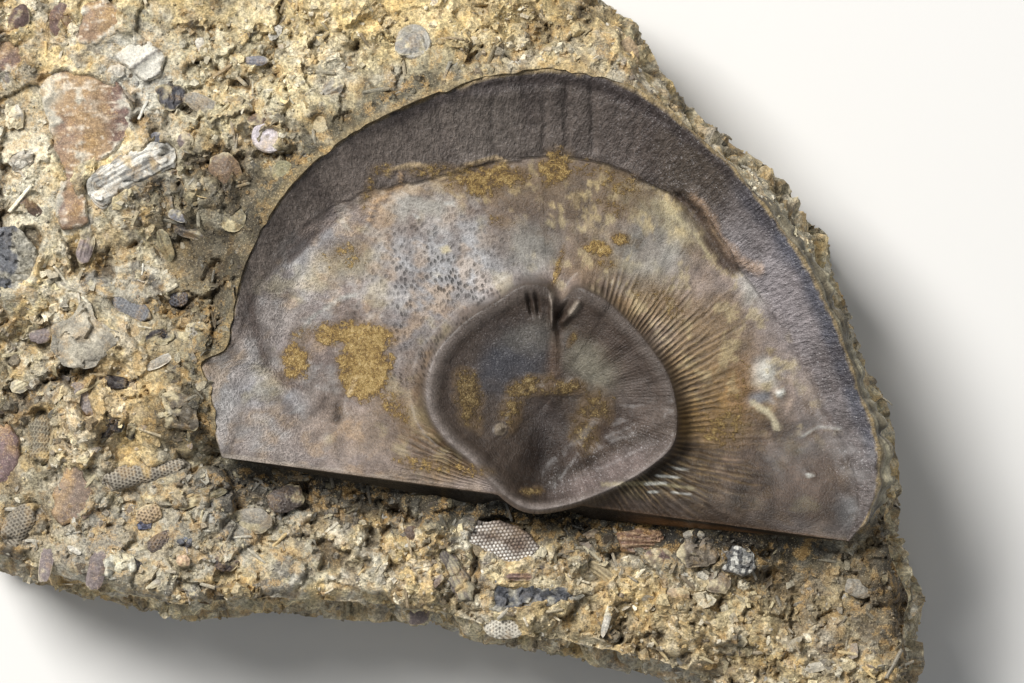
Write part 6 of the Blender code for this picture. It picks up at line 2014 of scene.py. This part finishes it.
PLATE_TURNS = {
    "shell_fragment_large": 4, "shell_fragment_top": 8, "shell_flake_grey": 35, "shell_paddle": 65,
    "shell_ribbed_left": 80, "mineral_chunk": 180, "bryozoan_fan": -25, "shell_chip_dark": -10,
    "shell_ribbed_small": 175,
}  # fmt: skip
PLATE_SLOTS = {
    "shell_flake_grey": "grey_shell", "mudstone_pebble": "pale_stone", "rock_chip_granular": "pale_stone",
    "mineral_chunk": "dark_mineral", "shell_chip_dark": "dark_mineral", "bryozoan_fan": "bryozoan",
}  # fmt: skip


def circle(centre, radius):
    turns = np.linspace(0, math.tau, 48, endpoint=False)
    return np.array(centre) + radius * np.stack((np.cos(turns), np.sin(turns)), axis=1)


def main():
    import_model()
    make_studio()
    looks = {
        "shell": shell_look(),
        "limestone": rock_look("limestone_rubble"),
        "brown_shell": rock_look("brown_shell_plate", (0.78, 1.22), 0.35, 0.05, (0.45, 0.8), 0.35),
        "grey_shell": rock_look("grey_shell_plate", (0.8, 1.18), 0.25, 0.05, (0.5, 0.85), 0.3),
        "pale_stone": rock_look("pale_mudstone", (0.75, 1.25), 0.3, 0.08, (0.7, 0.95), 0.25),
        "bryozoan": rock_look("bryozoan_skeleton", (0.8, 1.22), 0.25, 0.04, (0.6, 0.9), 0.2),
        "dark_mineral": rock_look("dark_mineral_grains", (0.6, 1.45), 0.12, 0.08, (0.4, 0.8), 0.1),
    }
    slab, side = make_slab(looks["limestone"])
    pieces = [(make_valve(looks["shell"]), "brachiopod_valve", "shell"), (slab, "matrix_rock", "limestone")]
    for name, outline, proud, crown in PLATES:
        slot = PLATE_SLOTS.get(name, "brown_shell")
        if name == "shell_fragment_large":
            outline = tuple((x + 0.7 * (x > -23.2), y) if y < 9 else (x, y) for x, y in outline)
        pieces.append((make_plate(name, outline, proud, crown, PLATE_TURNS.get(name, 0), looks[slot]), name, slot))
    for name, centre, radius in COLUMNALS:
        piece = make_plate(name, circle(centre, radius), COLUMNAL_PROUD, 0.05, 0, looks["grey_shell"])
        pieces.append((piece, name, "grey_shell"))
    for name, start, end, radius in BRANCHES:
        pieces.append((make_branch(name, start, end, radius, looks["bryozoan"]), name, "bryozoan"))
    for piece, node, slot in pieces:
        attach(piece, "root")
        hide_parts(node)
    bit_look = rock_look("hash_bit_shell", (0.75, 1.25), 0.22, 0.05, (0.4, 0.85), 0.15)
    flake_look = rock_look("hash_flake_shell", (0.75, 1.25), 0.25, 0.05, (0.55, 0.9), 0.25)
    side = (*side, BVHTree.FromObject(slab, bpy.context.evaluated_depsgraph_get()))
    bits = make_bits(bit_look, np.random.default_rng(BITS_SEED), side[-1])
    for piece in (bits, *make_all_hash(side, flake_look, looks["bryozoan"], looks["limestone"])):
        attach(piece, "root")


main()
